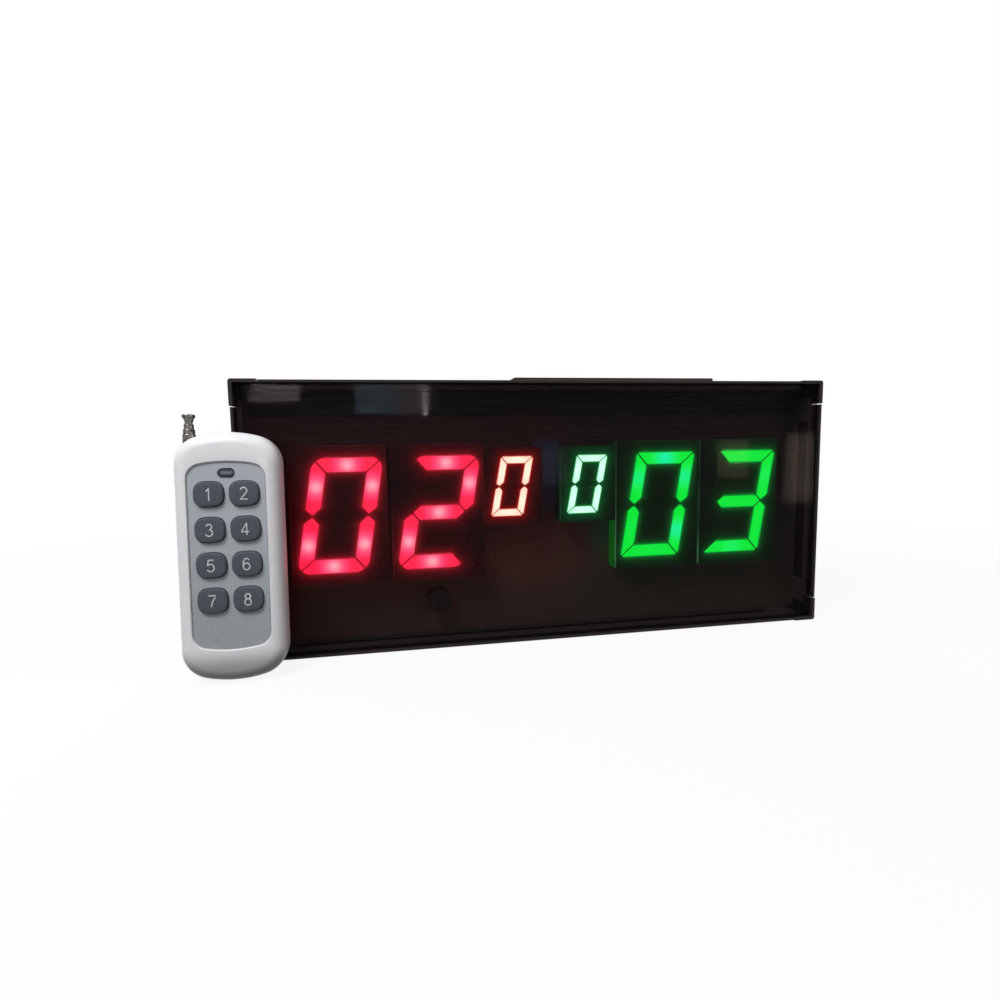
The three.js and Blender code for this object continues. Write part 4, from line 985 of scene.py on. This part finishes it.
# Rounds the corners of a loop with a few points each, and leaves those that are nearly straight.
def rounded(loop, radius):
    build, result = digitBuild, []
    for i, here in enumerate(loop):
        here, before, after = Vector(here), Vector(loop[i - 1]), Vector(loop[(i + 1) % len(loop)])
        back, ahead = before - here, after - here
        if back.angle(ahead) > math.radians(build["straight"]):
            result.append((here.x, here.y))
            continue
        reach = min(radius, build["roundShare"] * back.length, build["roundShare"] * ahead.length)
        start, end = here + back.normalized() * reach, here + ahead.normalized() * reach
        for t in (step / build["roundSteps"] for step in range(build["roundSteps"] + 1)):
            spot = start * (1 - t) ** 2 + here * 2 * t * (1 - t) + end * t ** 2
            result.append((spot.x, spot.y))
    return result


def lampOf(size, name):
    # The middle of a segment, the way it runs and half its length.
    w, h, t = size["width"] / 2, size["height"] / 2, size["stroke"]
    level = {"top": h - t / 2, "middle": 0, "bottom": t / 2 - h}
    if name in level:
        return (0, level[name]), (1, 0), w - t / 2
    side = 1 if name.endswith("Right") else -1
    rise = 1 if name.startswith("upper") else -1
    return (side * (w - t / 2), rise * h / 2), (size["slant"], 1), h / 2 - t / 4


def leaned(size, loop, x, z):
    return [(x + size["aside"] + px + pz * size["slant"], z + pz) for px, pz in loop]


def distanceTo(loop, spots):
    # How far each spot lies from a loop, in millimetres.
    best = np.full(len(spots), 1e9)
    for a, b in zip(loop, loop[1:] + loop[:1]):
        a, run = np.array(a), np.array(b) - np.array(a)
        along = np.clip(((spots - a) @ run) / (run @ run), 0, 1)
        best = np.minimum(best, np.linalg.norm(spots - a - along[:, None] * run, axis=1))
    return best


def gridded(piece, x, z, width, height):
    # Cuts a piece into cells across X and Z, so that its points can carry shading.
    cell = digitBuild["cell"]
    work = bmesh.new()
    work.from_mesh(piece.data)
    for middle, span, normal in ((x, width, Vector((1, 0, 0))), (z, height, Vector((0, 0, 1)))):
        for k in range(1, int(span / cell)):
            spot = normal * ((middle - span / 2 + k * cell) * mm)
            geometry = list(work.verts) + list(work.edges) + list(work.faces)
            bmesh.ops.bisect_plane(work, geom=geometry, plane_co=spot, plane_no=normal)
    work.to_mesh(piece.data)
    work.free()


def setValues(piece, name, values, kind="FLOAT"):
    layer = piece.data.attributes.new(name, kind, "POINT")
    key = "vector" if kind == "FLOAT_VECTOR" else "value"
    layer.data.foreach_set(key, np.asarray(values, np.float32).ravel())


def spotsOf(piece):
    return np.array([(v.co.x / mm, v.co.z / mm) for v in piece.data.vertices])


def markAway(piece, loops, lit):
    spots = spotsOf(piece)
    setValues(piece, "away", np.min([distanceTo(loops[key], spots) for key in lit], axis=0))


def markLamp(bar, centre, run, half, stroke, power):
    # How far along and across its bar each point lies from the lamp, as shares of the bar's size.
    offsets = spotsOf(bar) - np.array(centre)
    run = np.array(run) / np.linalg.norm(run)
    along, across = offsets @ run, offsets @ np.array((-run[1], run[0]))
    shares = np.stack([along / half, across / (digitBuild["lampShare"] * stroke), 0 * along], axis=1)
    setValues(bar, "lamp", shares, "FLOAT_VECTOR")
    setValues(bar, "lampPower", np.full(len(along), power))


# The black shell: a face with a slot for each bar, and four thin walls behind it.
def digitShell(name, loops, space, front, back):
    build = digitBuild
    x, z, width, height = space
    slots = [moved(turnedWay(loop, True), -build["slotGap"]) for loop in loops.values()]
    outer = rectangle(width, height, x, z, build["shellCorner"], 3)
    inner = rectangle(width - 2 * build["wall"], height - 2 * build["wall"], x, z)
    face = plate("face", outer, slots, front, front + build["face"], build["rim"], 1)
    walls = plate("walls", outer, [inner], front + build["face"], back)
    gridded(face, *space)
    past = np.abs(spotsOf(face) - np.array((x, z))) - np.array((width, height)) / 2
    setValues(face, "wall", np.zeros(len(past)))
    setValues(face, "edge", past.max(axis=1) > -build["edgeBand"])
    setValues(walls, "wall", np.ones(len(walls.data.vertices)))
    setValues(walls, "edge", np.zeros(len(walls.data.vertices)))
    return joined(f"{name}_housing_shell", [face, walls])


def digitPins(name, size, space, back):
    build = digitBuild
    x, z, _, height = space
    tail = spanOf(f"{name}_segments")[1][1]
    pins = []
    for row in (z - height / 2 + size["pinInset"], z + height / 2 - size["pinInset"]):
        for pin in range(build["pinsPerRow"]):
            along = x + (pin - (build["pinsPerRow"] - 1) / 2) * build["pinPitch"]
            section = rectangle(build["pinSide"], build["pinSide"], along, row)
            pins.append(plate("pin", section, [], back, tail, build["pinRim"], 1))
    return joined(f"{name}_pins", pins)


def addDigit(name, size, figure, resin, powers):
    build, look = digitBuild, resinLooks[resin]
    low, high = spanOf(f"{name}_housing")
    x, _, z = middleOf(f"{name}_housing")
    front, back = low[1], high[1]
    width, height = high[0] - low[0], high[2] - low[2]
    space = (x, z, width, height)
    lit = litSegments[figure]
    loops = {key: rounded(leaned(size, loop, x, z), size["rounding"])
             for key, loop in segmentLoops(size, look).items()}
    loops["point"] = circle(size["point"], 24, x + width / 2 - size["side"] - size["point"],
                            z - size["height"] / 2 + size["point"])
    if resin not in finishes:
        finishes[f"{resin}_shell"] = digitFace(f"{resin}_shell", look["glow"])
        finishes[resin] = litResin(resin, look)
        finishes[f"{resin}_dark"] = darkBar(f"{resin}_dark", look["glow"])
    shell = digitShell(name, loops, space, front, back)
    markAway(shell, loops, lit)
    dress(shell, f"{resin}_shell", stands=[f"{name}_housing"])
    bars, darkBars = [], []
    for key, loop in loops.items():
        bar = plate(f"{name}_{key}", loop, [], front, front + build["barDepth"], build["rim"], 2)
        if key in lit:
            centre, run, half = lampOf(size, key)
            centre = leaned(size, [centre], x, z)[0]
            markLamp(bar, centre, run, half, size["stroke"], powers.get(key, powers["all"]))
            bars.append(bar)
        else:
            darkBars.append(bar)
    dress(joined(f"{name}_lit_bars", bars), resin, stands=[f"{name}_segments"])
    dark = joined(f"{name}_dark_bars", darkBars)
    gridded(dark, *space)
    markAway(dark, loops, lit)
    dress(dark, f"{resin}_dark")
    inset = 2 * (build["wall"] + build["fillGap"])
    fill = rectangle(width - inset, height - inset, x, z, build["fillCorner"], 3)
    dress(plate(f"{name}_fill", fill, [], front + build["barDepth"], back), "resin_block")
    dress(digitPins(name, size, space, back), "screw_steel")


def addDigits():
    for name, settings in digitRow.items():
        addDigit(name, *settings)
    print("digits done")


# The buzzer below the red digits.
buzzerCan = {"hole": 1.0, "deep": 4, "ring": 4.3, "groove": 0.3, "grooveWide": 0.5,
             "holeRound": ((0, 0.5), (-0.3, 0)), "edgeRound": ((0.5, 0), (0.15, 0.15), (0, 0.5))}


def addBuzzer():
    b = buzzerCan
    low, high = spanOf("buzzer")
    x, _, z = middleOf("buzzer")
    radius = (high[0] - low[0]) / 2
    front, back = low[1], high[1]
    ringEnd = b["ring"] + b["grooveWide"]
    profile = [(0, front + b["deep"]), (b["hole"], front + b["deep"]),
               *stepped(b["hole"], front, b["holeRound"]),
               (b["ring"], front), (b["ring"], front + b["groove"]), (ringEnd, front + b["groove"]),
               (ringEnd, front), *stepped(radius, front, b["edgeRound"]), (radius, back), (0, back)]
    can = soften(lathe("buzzer_can", profile, 48, (x, 0, z), True))
    dress(can, "buzzer_plastic", stands=["buzzer"])


# Solder joints that show on the display board, below the small red digit.
solder = {"x": -29.4, "rows": (53.8, 44.2), "pitch": 1.1, "radius": 0.42, "height": 0.35,
          "domeShares": ((0, 1), (0.6, 0.8), (0.9, 0.4), (1, 0), (0, 0))}


def addSolder():
    s = solder
    front = spanOf("display_board")[0][1]
    profile = [(across * s["radius"], front - out * s["height"]) for across, out in s["domeShares"]]
    joints = [soften(lathe("joint", profile, 16, (s["x"] + side * s["pitch"], 0, row), True), 60)
              for row in s["rows"] for side in (-0.5, 0.5)]
    dress(joined("display_board_solder", joints), "screw_steel")


# The remote. Its own frame has its middle at zero; it leans back against the box.
remote = {
    "width": 44, "height": 109, "thick": 17, "corner": 13, "end": 48, "edge": 6, "wall": 2, "seam": 0.15,
    "seamRound": 0.2, "seamShare": 0.3, "cornerSteps": 16, "endSteps": 20, "sideSteps": 10, "edgeSteps": 12,
}
facePlate = {
    "width": 32.2, "height": 81.4, "corner": 6.5, "end": 60, "thick": 0.5, "recess": 1, "rise": 0.8,
    "gap": 0.3, "rim": 0.08, "dip": 1.35, "lip": 0.5, "shown": 0.25, "steps": 6,
}
keyPad = {
    "width": 12.1, "height": 10.8, "columnPitch": 14.45, "rowPitch": 15.28, "rows": 4, "columns": 2,
    "rise": 4.6, "proud": 1, "travel": 0.8, "flange": 0.75, "flangeThick": 0.8, "plunger": 2.5, "edge": 0.75,
    "dome": 0.12, "roundness": 2.9, "steps": 48, "gap": 0.3, "boardDepth": 7.4,
    "ringShares": (0.02, 0.3, 0.55, 0.8, 1), "edgeSteps": 5,
}
indicator = {"width": 6.5, "height": 3.4, "drop": 4.9, "rim": 0.3, "centreWidth": 4.3, "centreHeight": 1.4,
             "centreRim": 0.1, "centreNear": 0.12, "centreFar": 0.34, "dish": 0.35, "dishGap": 0.12}
batteryBay = {"halfLength": 14.8, "halfHeight": 3.9, "gap": 0.3, "wall": 1.2, "over": 6.5, "rise": 16.5,
              "doorThick": 1.6, "saddleShares": (-0.5, 0.55), "saddleHalf": 1, "overrun": 0.02}
aerial = {"radius": 2.8, "wall": 0.25, "slide": 0.1, "inset": 5.8, "length": 84, "top": 0.6, "step": 2.2,
          "bottomStep": 2, "plug": 2, "cap": 2.8, "capThick": 1.3, "flare": 2.6, "steps": 40,
          "neckRise": 0.3, "footRound": ((0.2, 0), (0, 0.2)),
          "mouthRound": ((0, -0.45), (0.05, -0.27), (0.16, -0.09), (0.26, 0)),
          "neckRound": ((0, -0.05), (0.12, 0.25), (0.05, 0.7)), "cone": ((-0.25, -0.9),),
          "capLow": ((0.45, -0.25), (0.1, 0), (0, 0.15)), "capHigh": ((0, -0.45), (0.15, -0.12), (0.5, 0))}


def remotePlacing():
    shells = [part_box(n) for n in ("remote_front_shell", "remote_back_shell", "remote_battery_door")]
    low, high = (Vector([pick(box[end][k] for box in shells) for k in range(3)])
                 for end, pick in ((0, min), (1, max)))
    up = next(Vector(j["axis"]) for j in frame["joints"] if j["name"] == "antenna_pull_1").normalized()
    right = Vector((1, 0, 0))
    turn = Matrix((right, up.cross(right), up)).transposed().to_4x4()
    return Matrix.Translation((low + high) / 2) @ turn


remoteAt = remotePlacing()


# A rounded outline with slightly arched ends, drawn inwards by an inset, with as many points each time.
def archedLoop(width, height, corner, end, rise=0, inset=0):
    cornerSteps, endSteps, sideSteps = (remote[key] for key in ("cornerSteps", "endSteps", "sideSteps"))
    side = width / 2 - corner
    reach = math.sqrt((end - corner) ** 2 - side ** 2)
    cornerZ, endZ = height / 2 - end + reach, height / 2 - end
    turn = math.degrees(math.atan2(reach, side))
    corner, end = corner - inset, end - inset
    half = [(width / 2 - inset, cornerZ * (2 * k / sideSteps - 1)) for k in range(sideSteps)]
    half += arc(side, cornerZ, corner, corner, 0, turn, cornerSteps)[:-1]
    half += arc(0, endZ, end, end, turn, 180 - turn, endSteps)[:-1]
    half += arc(-side, cornerZ, corner, corner, 180 - turn, 180, cornerSteps)[:-1]
    return [(sign * x, rise + sign * z) for sign in (1, -1) for x, z in half]


def bodyLoop(inset):
    return archedLoop(remote["width"], remote["height"], remote["corner"], remote["end"], 0, inset)


def faceLoop(inset):
    f = facePlate
    return archedLoop(f["width"], f["height"], f["corner"], f["end"], f["rise"], inset)


def ringAt(loop, y):
    return [(x, y, z) for x, z in loop]


# Rings from the seam to the flat of the remote, on the side that sign says, drawn in by a wall.
def shellRings(sign, seam, wall=0, last=90):
    half, edge, bend = remote["thick"] / 2 - wall, remote["edge"] - wall, remote["seamRound"]
    rings = [ringAt(bodyLoop(wall), -sign * seam)]
    if not wall:
        part = remote["seamShare"] * bend
        rings = [ringAt(bodyLoop(inset), sign * (seam + rise))
                 for inset, rise in ((bend, 0), (part, part), (0, bend))]
    for k in range(remote["edgeSteps"] + 1):
        angle = math.radians(last * k / remote["edgeSteps"])
        depth = half - edge + edge * math.sin(angle)
        rings.append(ringAt(bodyLoop(wall + edge * (1 - math.cos(angle))), sign * depth))
    return rings


def keySpots():
    k = keyPad
    return [((column - (k["columns"] - 1) / 2) * k["columnPitch"],
             k["rise"] + ((k["rows"] - 1) / 2 - row) * k["rowPitch"])
            for row in range(k["rows"]) for column in range(k["columns"])]


def keyLoop(x, z, extra=0, share=1.0):
    power = 2 / keyPad["roundness"]
    loop = []
    for step in range(keyPad["steps"]):
        angle = (step + 0.5) / keyPad["steps"] * 2 * math.pi
        c, s = (math.copysign(abs(v) ** power, v) * share for v in (math.cos(angle), math.sin(angle)))
        loop.append((x + c * (keyPad["width"] / 2 + extra), z + s * (keyPad["height"] / 2 + extra)))
    return loop


def pillLoop(width, height, extra=0, steps=10):
    radius, side = height / 2 + extra, (width - height) / 2
    z = facePlate["rise"] + facePlate["height"] / 2 - indicator["drop"]
    return arc(side, z, radius, radius, -90, 90, steps) + arc(-side, z, radius, radius, 90, 270, steps)


def aerialPlace():
    # The antenna's X and the height of its tube's mouth, in the remote's own frame.
    return aerial["inset"] - remote["width"] / 2, remote["height"] / 2 - aerial["top"]


def aerialTunnel():
    x, top = aerialPlace()
    bottom, radius = top - aerial["length"] - facePlate["gap"], aerial["radius"] + facePlate["gap"]
    profile = [(0, bottom), (radius, bottom), (radius, remote["height"]), (0, remote["height"])]
    return lathe("tunnel", profile, 48, (x, 0, 0), placing=remoteAt)


def addShell(shell, node, body="remote"):
    soften(shell, 40)
    dress(shell, "white_plastic", body, [node])


def addFrontShell():
    f = facePlate
    front = -remote["thick"] / 2
    floor = front + remote["wall"]
    rings = shellRings(-1, remote["seam"], 0, 86)
    for step in range(f["steps"] + 1):
        angle = math.pi / 2 * step / f["steps"]
        depth = f["lip"] * (1 - math.cos(angle))
        rings.append(ringAt(faceLoop(f["lip"] * (math.sin(angle) - 1)), front + depth))
    rings.append(ringAt(faceLoop(0), front + f["dip"]))
    shell = loft("remote_front", rings, remoteAt)
    carve(shell, loft("hollow", shellRings(-1, 1, remote["wall"]), remoteAt))
    holes = [keyLoop(x, z, keyPad["gap"]) for x, z in keySpots()]
    holes.append(pillLoop(indicator["width"], indicator["height"], f["gap"]))
    cuts = [plate("cut", hole, [], front - 1, floor + 1, placing=remoteAt) for hole in holes]
    carve(shell, joined("cuts", cuts))
    carve(shell, aerialTunnel())
    addShell(shell, "remote_front_shell")


def doorBlock(fromY, shrink):
    b = batteryBay
    half = b["halfLength"] - shrink
    top = b["rise"] - remote["height"] / 2 + b["over"] - shrink
    return slab("door block", (-half, fromY, -remote["height"]), (half, remote["thick"], top), remoteAt)


def addBackShell():
    b, r = batteryBay, remote
    back = r["thick"] / 2
    root = back - r["wall"] / 2
    shell = loft("remote_back", shellRings(1, r["seam"]), remoteAt)
    carve(shell, loft("hollow", shellRings(1, 1, r["wall"]), remoteAt))
    bay, reach = b["rise"] - r["height"] / 2, b["halfHeight"] + b["wall"]
    outer, inner = b["halfLength"] + b["gap"] + b["wall"], b["halfLength"] + b["gap"]
    spans = [(-outer, -inner, bay - reach, bay + reach), (inner, outer, bay - reach, bay + reach)]
    x, wide = aerialPlace()[0], aerial["radius"] + b["gap"]
    for share in b["saddleShares"]:
        middle = share * r["height"] / 2
        spans.append((x - wide, x + wide, middle - b["saddleHalf"], middle + b["saddleHalf"]))
    fittings = [slab("fitting", (left, r["seam"], low), (right, root, high), remoteAt)
                for left, right, low, high in spans]
    carve(shell, joined("fittings", fittings), "UNION")
    carve(shell, doorBlock(min(back - b["doorThick"] - b["gap"], back - r["wall"]) - b["overrun"], 0))
    carve(shell, aerialTunnel())
    addShell(shell, "remote_back_shell")


# The battery door, with grip grooves across its upper end.
doorGrip = {"grooves": 6, "pitch": 1.7, "radius": 0.55, "width": 17, "drop": 4.2, "out": 0.25,
            "narrowShare": 0.06}


def addBatteryDoor():
    b, g = batteryBay, doorGrip
    back = remote["thick"] / 2
    door = loft("door", shellRings(1, remote["seam"]), remoteAt)
    carve(door, doorBlock(back - b["doorThick"], b["gap"]), "INTERSECT")
    top = b["rise"] - remote["height"] / 2 + b["over"] - b["gap"]
    grooves = []
    for k in range(g["grooves"]):
        half = g["width"] * (1 - g["narrowShare"] * k) / 2
        section = circle(g["radius"], 12, back + g["out"], top - g["drop"] - k * g["pitch"])
        grooves.append(loft("groove", [[(x, y, z) for y, z in section] for x in (-half, half)], remoteAt))
    carve(door, joined("grooves", grooves))
    addShell(door, "remote_battery_door", "battery_door")


def addFacePlate():
    f = facePlate
    far = -remote["thick"] / 2 + f["dip"] - f["gap"]
    holes = [keyLoop(x, z, keyPad["gap"]) for x, z in keySpots()]
    holes.append(pillLoop(indicator["width"], indicator["height"], f["gap"]))
    panel = plate("remote_panel", faceLoop(f["gap"]), holes, far - f["shown"], far, f["rim"], 2, remoteAt)
    dress(panel, "face_panel", "remote", ["remote_face_panel"])


def addKeys():
    k, f = keyPad, facePlate
    front = -remote["thick"] / 2
    capFront = front + f["recess"] - f["gap"] - f["thick"] - k["proud"]
    flangeFront = front + remote["wall"] + k["gap"]
    flangeBack = flangeFront + k["flangeThick"]
    plungerEnd = front + k["boardDepth"] - k["travel"] - k["gap"]
    for number, (x, z) in enumerate(keySpots(), 1):
        rings = [ringAt(keyLoop(x, z, -k["edge"], share), capFront + k["dome"] * share ** 2)
                 for share in k["ringShares"]]
        for step in range(1, k["edgeSteps"] + 1):
            angle = math.pi / 2 * step / k["edgeSteps"]
            depth = k["dome"] + (k["edge"] - k["dome"]) * (1 - math.cos(angle))
            rings.append(ringAt(keyLoop(x, z, k["edge"] * (math.sin(angle) - 1)), capFront + depth))
        flange, plunger = keyLoop(x, z, k["flange"]), circle(k["plunger"], k["steps"], x, z)
        for loop, y in ((keyLoop(x, z), flangeFront), (flange, flangeFront), (flange, flangeBack),
                        (plunger, flangeBack), (plunger, plungerEnd)):
            rings.append(ringAt(loop, y))
        cap = soften(loft(f"remote_key_{number}_cap", rings, remoteAt), 45)
        dress(cap, "key_rubber", f"key_{number}", [f"remote_key_{number}"])
        addNumeral(number, x, z, capFront)


# The numerals as pen strokes in a cell 1 high, each a list of arcs and corners.
numeralStrokes = {
    1: [[(0.14, 0.76), (0.27, 0.84), (0.36, 0.98)], [(0.36, 1.0), (0.36, 0.0)]],
    2: [arc(0.29, 0.73, 0.25, 0.25, 165, -32) + [(0.05, 0.06)], [(0.0, 0.04), (0.57, 0.04)]],
    3: [arc(0.27, 0.75, 0.22, 0.22, 158, -75), arc(0.27, 0.27, 0.26, 0.26, 88, -160)],
    4: [[(0.42, 0.0), (0.42, 1.0)], [(0.42, 0.98), (0.01, 0.3)], [(0.0, 0.27), (0.6, 0.27)]],
    5: [[(0.52, 0.96), (0.12, 0.96)], [(0.13, 0.98), (0.05, 0.5)], arc(0.27, 0.33, 0.27, 0.3, 145, -155)],
    6: [arc(0.3, 0.5, 0.27, 0.47, 42, 190), arc(0.29, 0.32, 0.25, 0.28, 0, 360)],
    7: [[(0.03, 0.96), (0.57, 0.96)], arc(0.95, 0.02, 0.72, 0.94, 122, 178)],
    8: [arc(0.29, 0.75, 0.2, 0.21, 0, 360), arc(0.29, 0.28, 0.25, 0.26, 0, 360)],
}
ink = {"height": 5.3, "half": 0.26, "proud": 0.06, "sides": 8, "middleShare": 0.3}


def addNumeral(number, x, z, front):
    k, height = keyPad, ink["height"]
    strokes = []
    for stroke in numeralStrokes[number]:
        path = [Vector(((px - ink["middleShare"]) * height, (pz - 0.5) * height)) for px, pz in stroke]
        rings = []
        for i, spot in enumerate(path):
            run = (path[min(i + 1, len(path) - 1)] - path[max(i - 1, 0)]).normalized()
            if stroke[0] == stroke[-1] and i in (0, len(path) - 1):
                run = (path[1] - path[-2]).normalized()
            away = math.hypot(spot.x / (k["width"] / 2), spot.y / (k["height"] / 2))
            y = front + k["dome"] * away ** 2
            section = arc(0, 0, ink["half"], ink["proud"], 0, 360, ink["sides"])[:-1]
            rings.append([(x + spot.x - run.y * across, y - out, z + spot.y + run.x * across)
                          for across, out in section])
        strokes.append(soften(loft("stroke", rings, remoteAt), 50))
    numeral = joined(f"remote_key_{number}_numeral", strokes)
    dress(numeral, "numeral_ink", f"key_{number}")


def addIndicator():
    f, i = facePlate, indicator
    front = -remote["thick"] / 2
    near = front + f["recess"] - f["gap"] - f["thick"]
    end = front + keyPad["boardDepth"] - f["gap"]
    pill = (i["centreWidth"], i["centreHeight"])
    lens = plate("remote_indicator", pillLoop(i["width"], i["height"]), [], near, end, i["rim"], 3, remoteAt)
    dish = plate("dish", pillLoop(*pill, i["dishGap"]), [], near - 1, near + i["dish"], placing=remoteAt)
    carve(lens, dish)
    soften(lens, 30)
    dress(lens, "lens_plastic", "remote", ["remote_lens"])
    centre = plate("remote_indicator_centre", pillLoop(*pill), [], near + i["centreNear"],
                   near + i["centreFar"], i["centreRim"], 2, remoteAt)
    dress(centre, "lens_centre", "remote")


# The battery's nipple, the ring round it, and the roundings of both ends.
battery = {
    "nipple": 0.8, "sunk": 0.3, "nippleRadius": 1.6, "ring": 2.6, "ringInner": 2.5,
    "leftRound": ((0.9, 0), (0.8, 0), (0.5, 0.02), (0.12, 0.2), (0, 0.6)),
    "rightRound": ((0, -0.6), (0.12, -0.2), (0.5, -0.02)),
    "nippleRound": ((0, -0.25), (0.2, -0.05), (0.5, 0)),
}


def addBattery():
    b = battery
    low, high = spanOf("remote_battery")
    _, y, z = middleOf("remote_battery")
    radius = (high[1] - low[1]) / 2
    left, right = low[0], high[0]
    end = right - b["nipple"]
    cell = [(0, left), *stepped(radius, left, b["leftRound"]), *stepped(radius, end, b["rightRound"]),
            (b["ring"], end), (b["ringInner"], end), (0, end)]
    nipple = [(0, end - b["sunk"]), (b["nippleRadius"], end - b["sunk"]),
              *stepped(b["nippleRadius"], right, b["nippleRound"]), (0, right)]
    along = Matrix.Translation((0, y * mm, z * mm)) @ Matrix.Rotation(math.pi / 2, 4, "Y")
    for part, profile, steps, look, stands in (("cell", cell, 48, "battery_jacket", ["remote_battery"]),
                                               ("nipple", nipple, 32, "screw_steel", [])):
        piece = soften(lathe(f"remote_battery_{part}", profile, steps, placing=along), 40)
        dress(piece, look, "remote", stands)


def addAerial():
    a = aerial
    x, top = aerialPlace()
    bottom = top - a["length"]
    floor = bottom + a["plug"]
    thinner = a["wall"] + a["slide"]

    def mouth(outer, high):
        # The end of a thin tube, rolled inwards.
        return [*stepped(outer, high, a["mouthRound"]), (outer - a["wall"], high)]

    radius = a["radius"]
    tube = [(0, bottom), *stepped(radius, bottom, a["footRound"]), *mouth(radius, top),
            (radius - a["wall"], floor), (0, floor)]
    pieces = [("antenna_tube", "remote", tube)]
    for stage in (1, 2):
        outer, low = radius - stage * thinner, floor + stage * a["bottomStep"]
        section = [(outer - a["wall"], low), (outer, low), *mouth(outer, top + stage * a["step"])]
        pieces.append((f"antenna_section_{stage}", f"antenna_stage_{stage}", section))
    rod, low, neck = radius - 3 * thinner, floor + 3 * a["bottomStep"], top + 2 * a["step"] + a["neckRise"]
    cap = neck + a["flare"]
    end = cap + a["capThick"]
    tip = [(0, low), *stepped(rod, low, a["footRound"]), *stepped(rod, neck, a["neckRound"]),
           *stepped(rod, cap, a["cone"]), *stepped(a["cap"], cap, a["capLow"]),
           *stepped(a["cap"], end, a["capHigh"]), (0, end)]
    pieces.append(("antenna_tip", "antenna_stage_3", tip))
    for node, body, profile in pieces:
        endless = node.startswith("antenna_section")
        piece = lathe(f"{node}_plated", profile, a["steps"], (x, 0, 0), placing=remoteAt, endless=endless)
        dress(soften(piece, 32), "plated_brass", body, [node])


def addRemote():
    addFrontShell()
    addBackShell()
    addBatteryDoor()
    addFacePlate()
    addKeys()
    addIndicator()
    addBattery()
    addAerial()
    print("remote done")


# What is fixed to the rear panel.
screwHead = {"radius": 2.7, "height": 1.4, "shank": 1.4, "recess": 1.0, "recessDeep": 0.9, "blade": 0.55,
             "thread": 0.9, "lead": 1.2, "turn": 23, "point": 0.5, "plain": 0.6, "neck": 0.2, "flat": 0.6,
             "groove": ((0, 0.1), (0.28, 0.4), (0.28, 0.6), (0, 0.85)),
             "headRound": ((0.1, 0), (0, 0.12), (0.06, 0.5)), "dome": ((0.45, -0.32), (1.1, -0.07))}
powerSocket = {"barrel": 3.9, "rim": 5.6, "rimThick": 1.6, "bore": 3.2, "boreDepth": 9, "pin": 1.05,
               "thread": 0.6, "lead": 0.4, "plain": 0.5, "neck": 0.1, "footRound": ((0.3, 0), (0, 0.3)),
               "groove": ((0, 0), (0.2, 0.3)), "rimRound": ((0.15, 0), (0, 0.15)),
               "mouthRound": ((0, -0.55), (0.2, -0.15), (0.6, 0)), "boreRound": ((-0.35, 0), (0, -0.35)),
               "pinLift": 0.01, "pinRound": ((0, -0.4), (0.35, 0))}


def addScrews():
    s = screwHead
    radius, shank = s["radius"], s["shank"]
    for number in range(1, 5):
        node = f"rear_screw_{number}"
        low, high = spanOf(node)
        x, _, z = middleOf(node)
        out, seat, tip = high[1], high[1] - s["height"], low[1]
        profile = [(0, tip), (s["point"], tip), (shank, tip + s["lead"])]
        for k in range(int((seat - s["plain"] - tip - s["lead"]) / s["thread"])):
            profile += stepped(shank, tip + s["lead"] + k * s["thread"], s["groove"])
        profile += [(shank, seat - s["neck"]), (shank, seat), *stepped(radius, seat, s["headRound"]),
                    *stepped(radius, out, s["dome"]), (s["flat"], out), (0, out)]
        screw = lathe(f"{node}_steel", profile, 40, (x, 0, z), True)
        turn = Matrix.Rotation(math.radians(s["turn"] * number), 4, "Y")
        turned = Matrix.Translation((x * mm, 0, z * mm)) @ turn
        long = s["recess"] + s["blade"] / 2
        for w, h in ((long, s["blade"] / 2), (s["blade"] / 2, long)):
            carve(screw, slab("blade", (-w, out - s["recessDeep"], -h), (w, out + 1, h), turned))
        dress(soften(screw, 35), "screw_steel", stands=[node])


def addPowerSocket():
    p = powerSocket
    low, high = spanOf("dc_socket")
    x, _, z = middleOf("dc_socket")
    mouth, end = high[1], low[1]
    rim, inner = mouth - p["rimThick"], mouth - p["boreDepth"]
    profile = [(0, end), *stepped(p["barrel"], end, p["footRound"])]
    for k in range(int((rim - p["lead"] - end - p["plain"]) / p["thread"])):
        profile += stepped(p["barrel"], end + p["lead"] + k * p["thread"], p["groove"])
    profile += [(p["barrel"], rim - p["neck"]), (p["barrel"], rim), *stepped(p["rim"], rim, p["rimRound"]),
                *stepped(p["rim"], mouth, p["mouthRound"]), *stepped(p["bore"], mouth, p["boreRound"]),
                (p["bore"], inner), (0, inner)]
    body = soften(lathe("dc_socket_body", profile, 48, (x, 0, z), True), 32)
    dress(body, "socket_plastic", stands=["dc_socket"])
    foot = inner + p["pinLift"]
    pin = [(0, foot), (p["pin"], foot), *stepped(p["pin"], rim, p["pinRound"]), (0, rim)]
    dress(soften(lathe("dc_socket_pin", pin, 28, (x, 0, z), True), 32), "screw_steel")


def printSizes():
    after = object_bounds()
    for before, now in zip(cadBounds, after):
        print("bounds", [round(v / mm, 2) for v in before], [round(v / mm, 2) for v in now])


addCamera()
addStudio()
makeFinishes()
dressKeptNodes()
addDigits()
addBuzzer()
addSolder()
addRemote()
addScrews()
addPowerSocket()
printSizes()
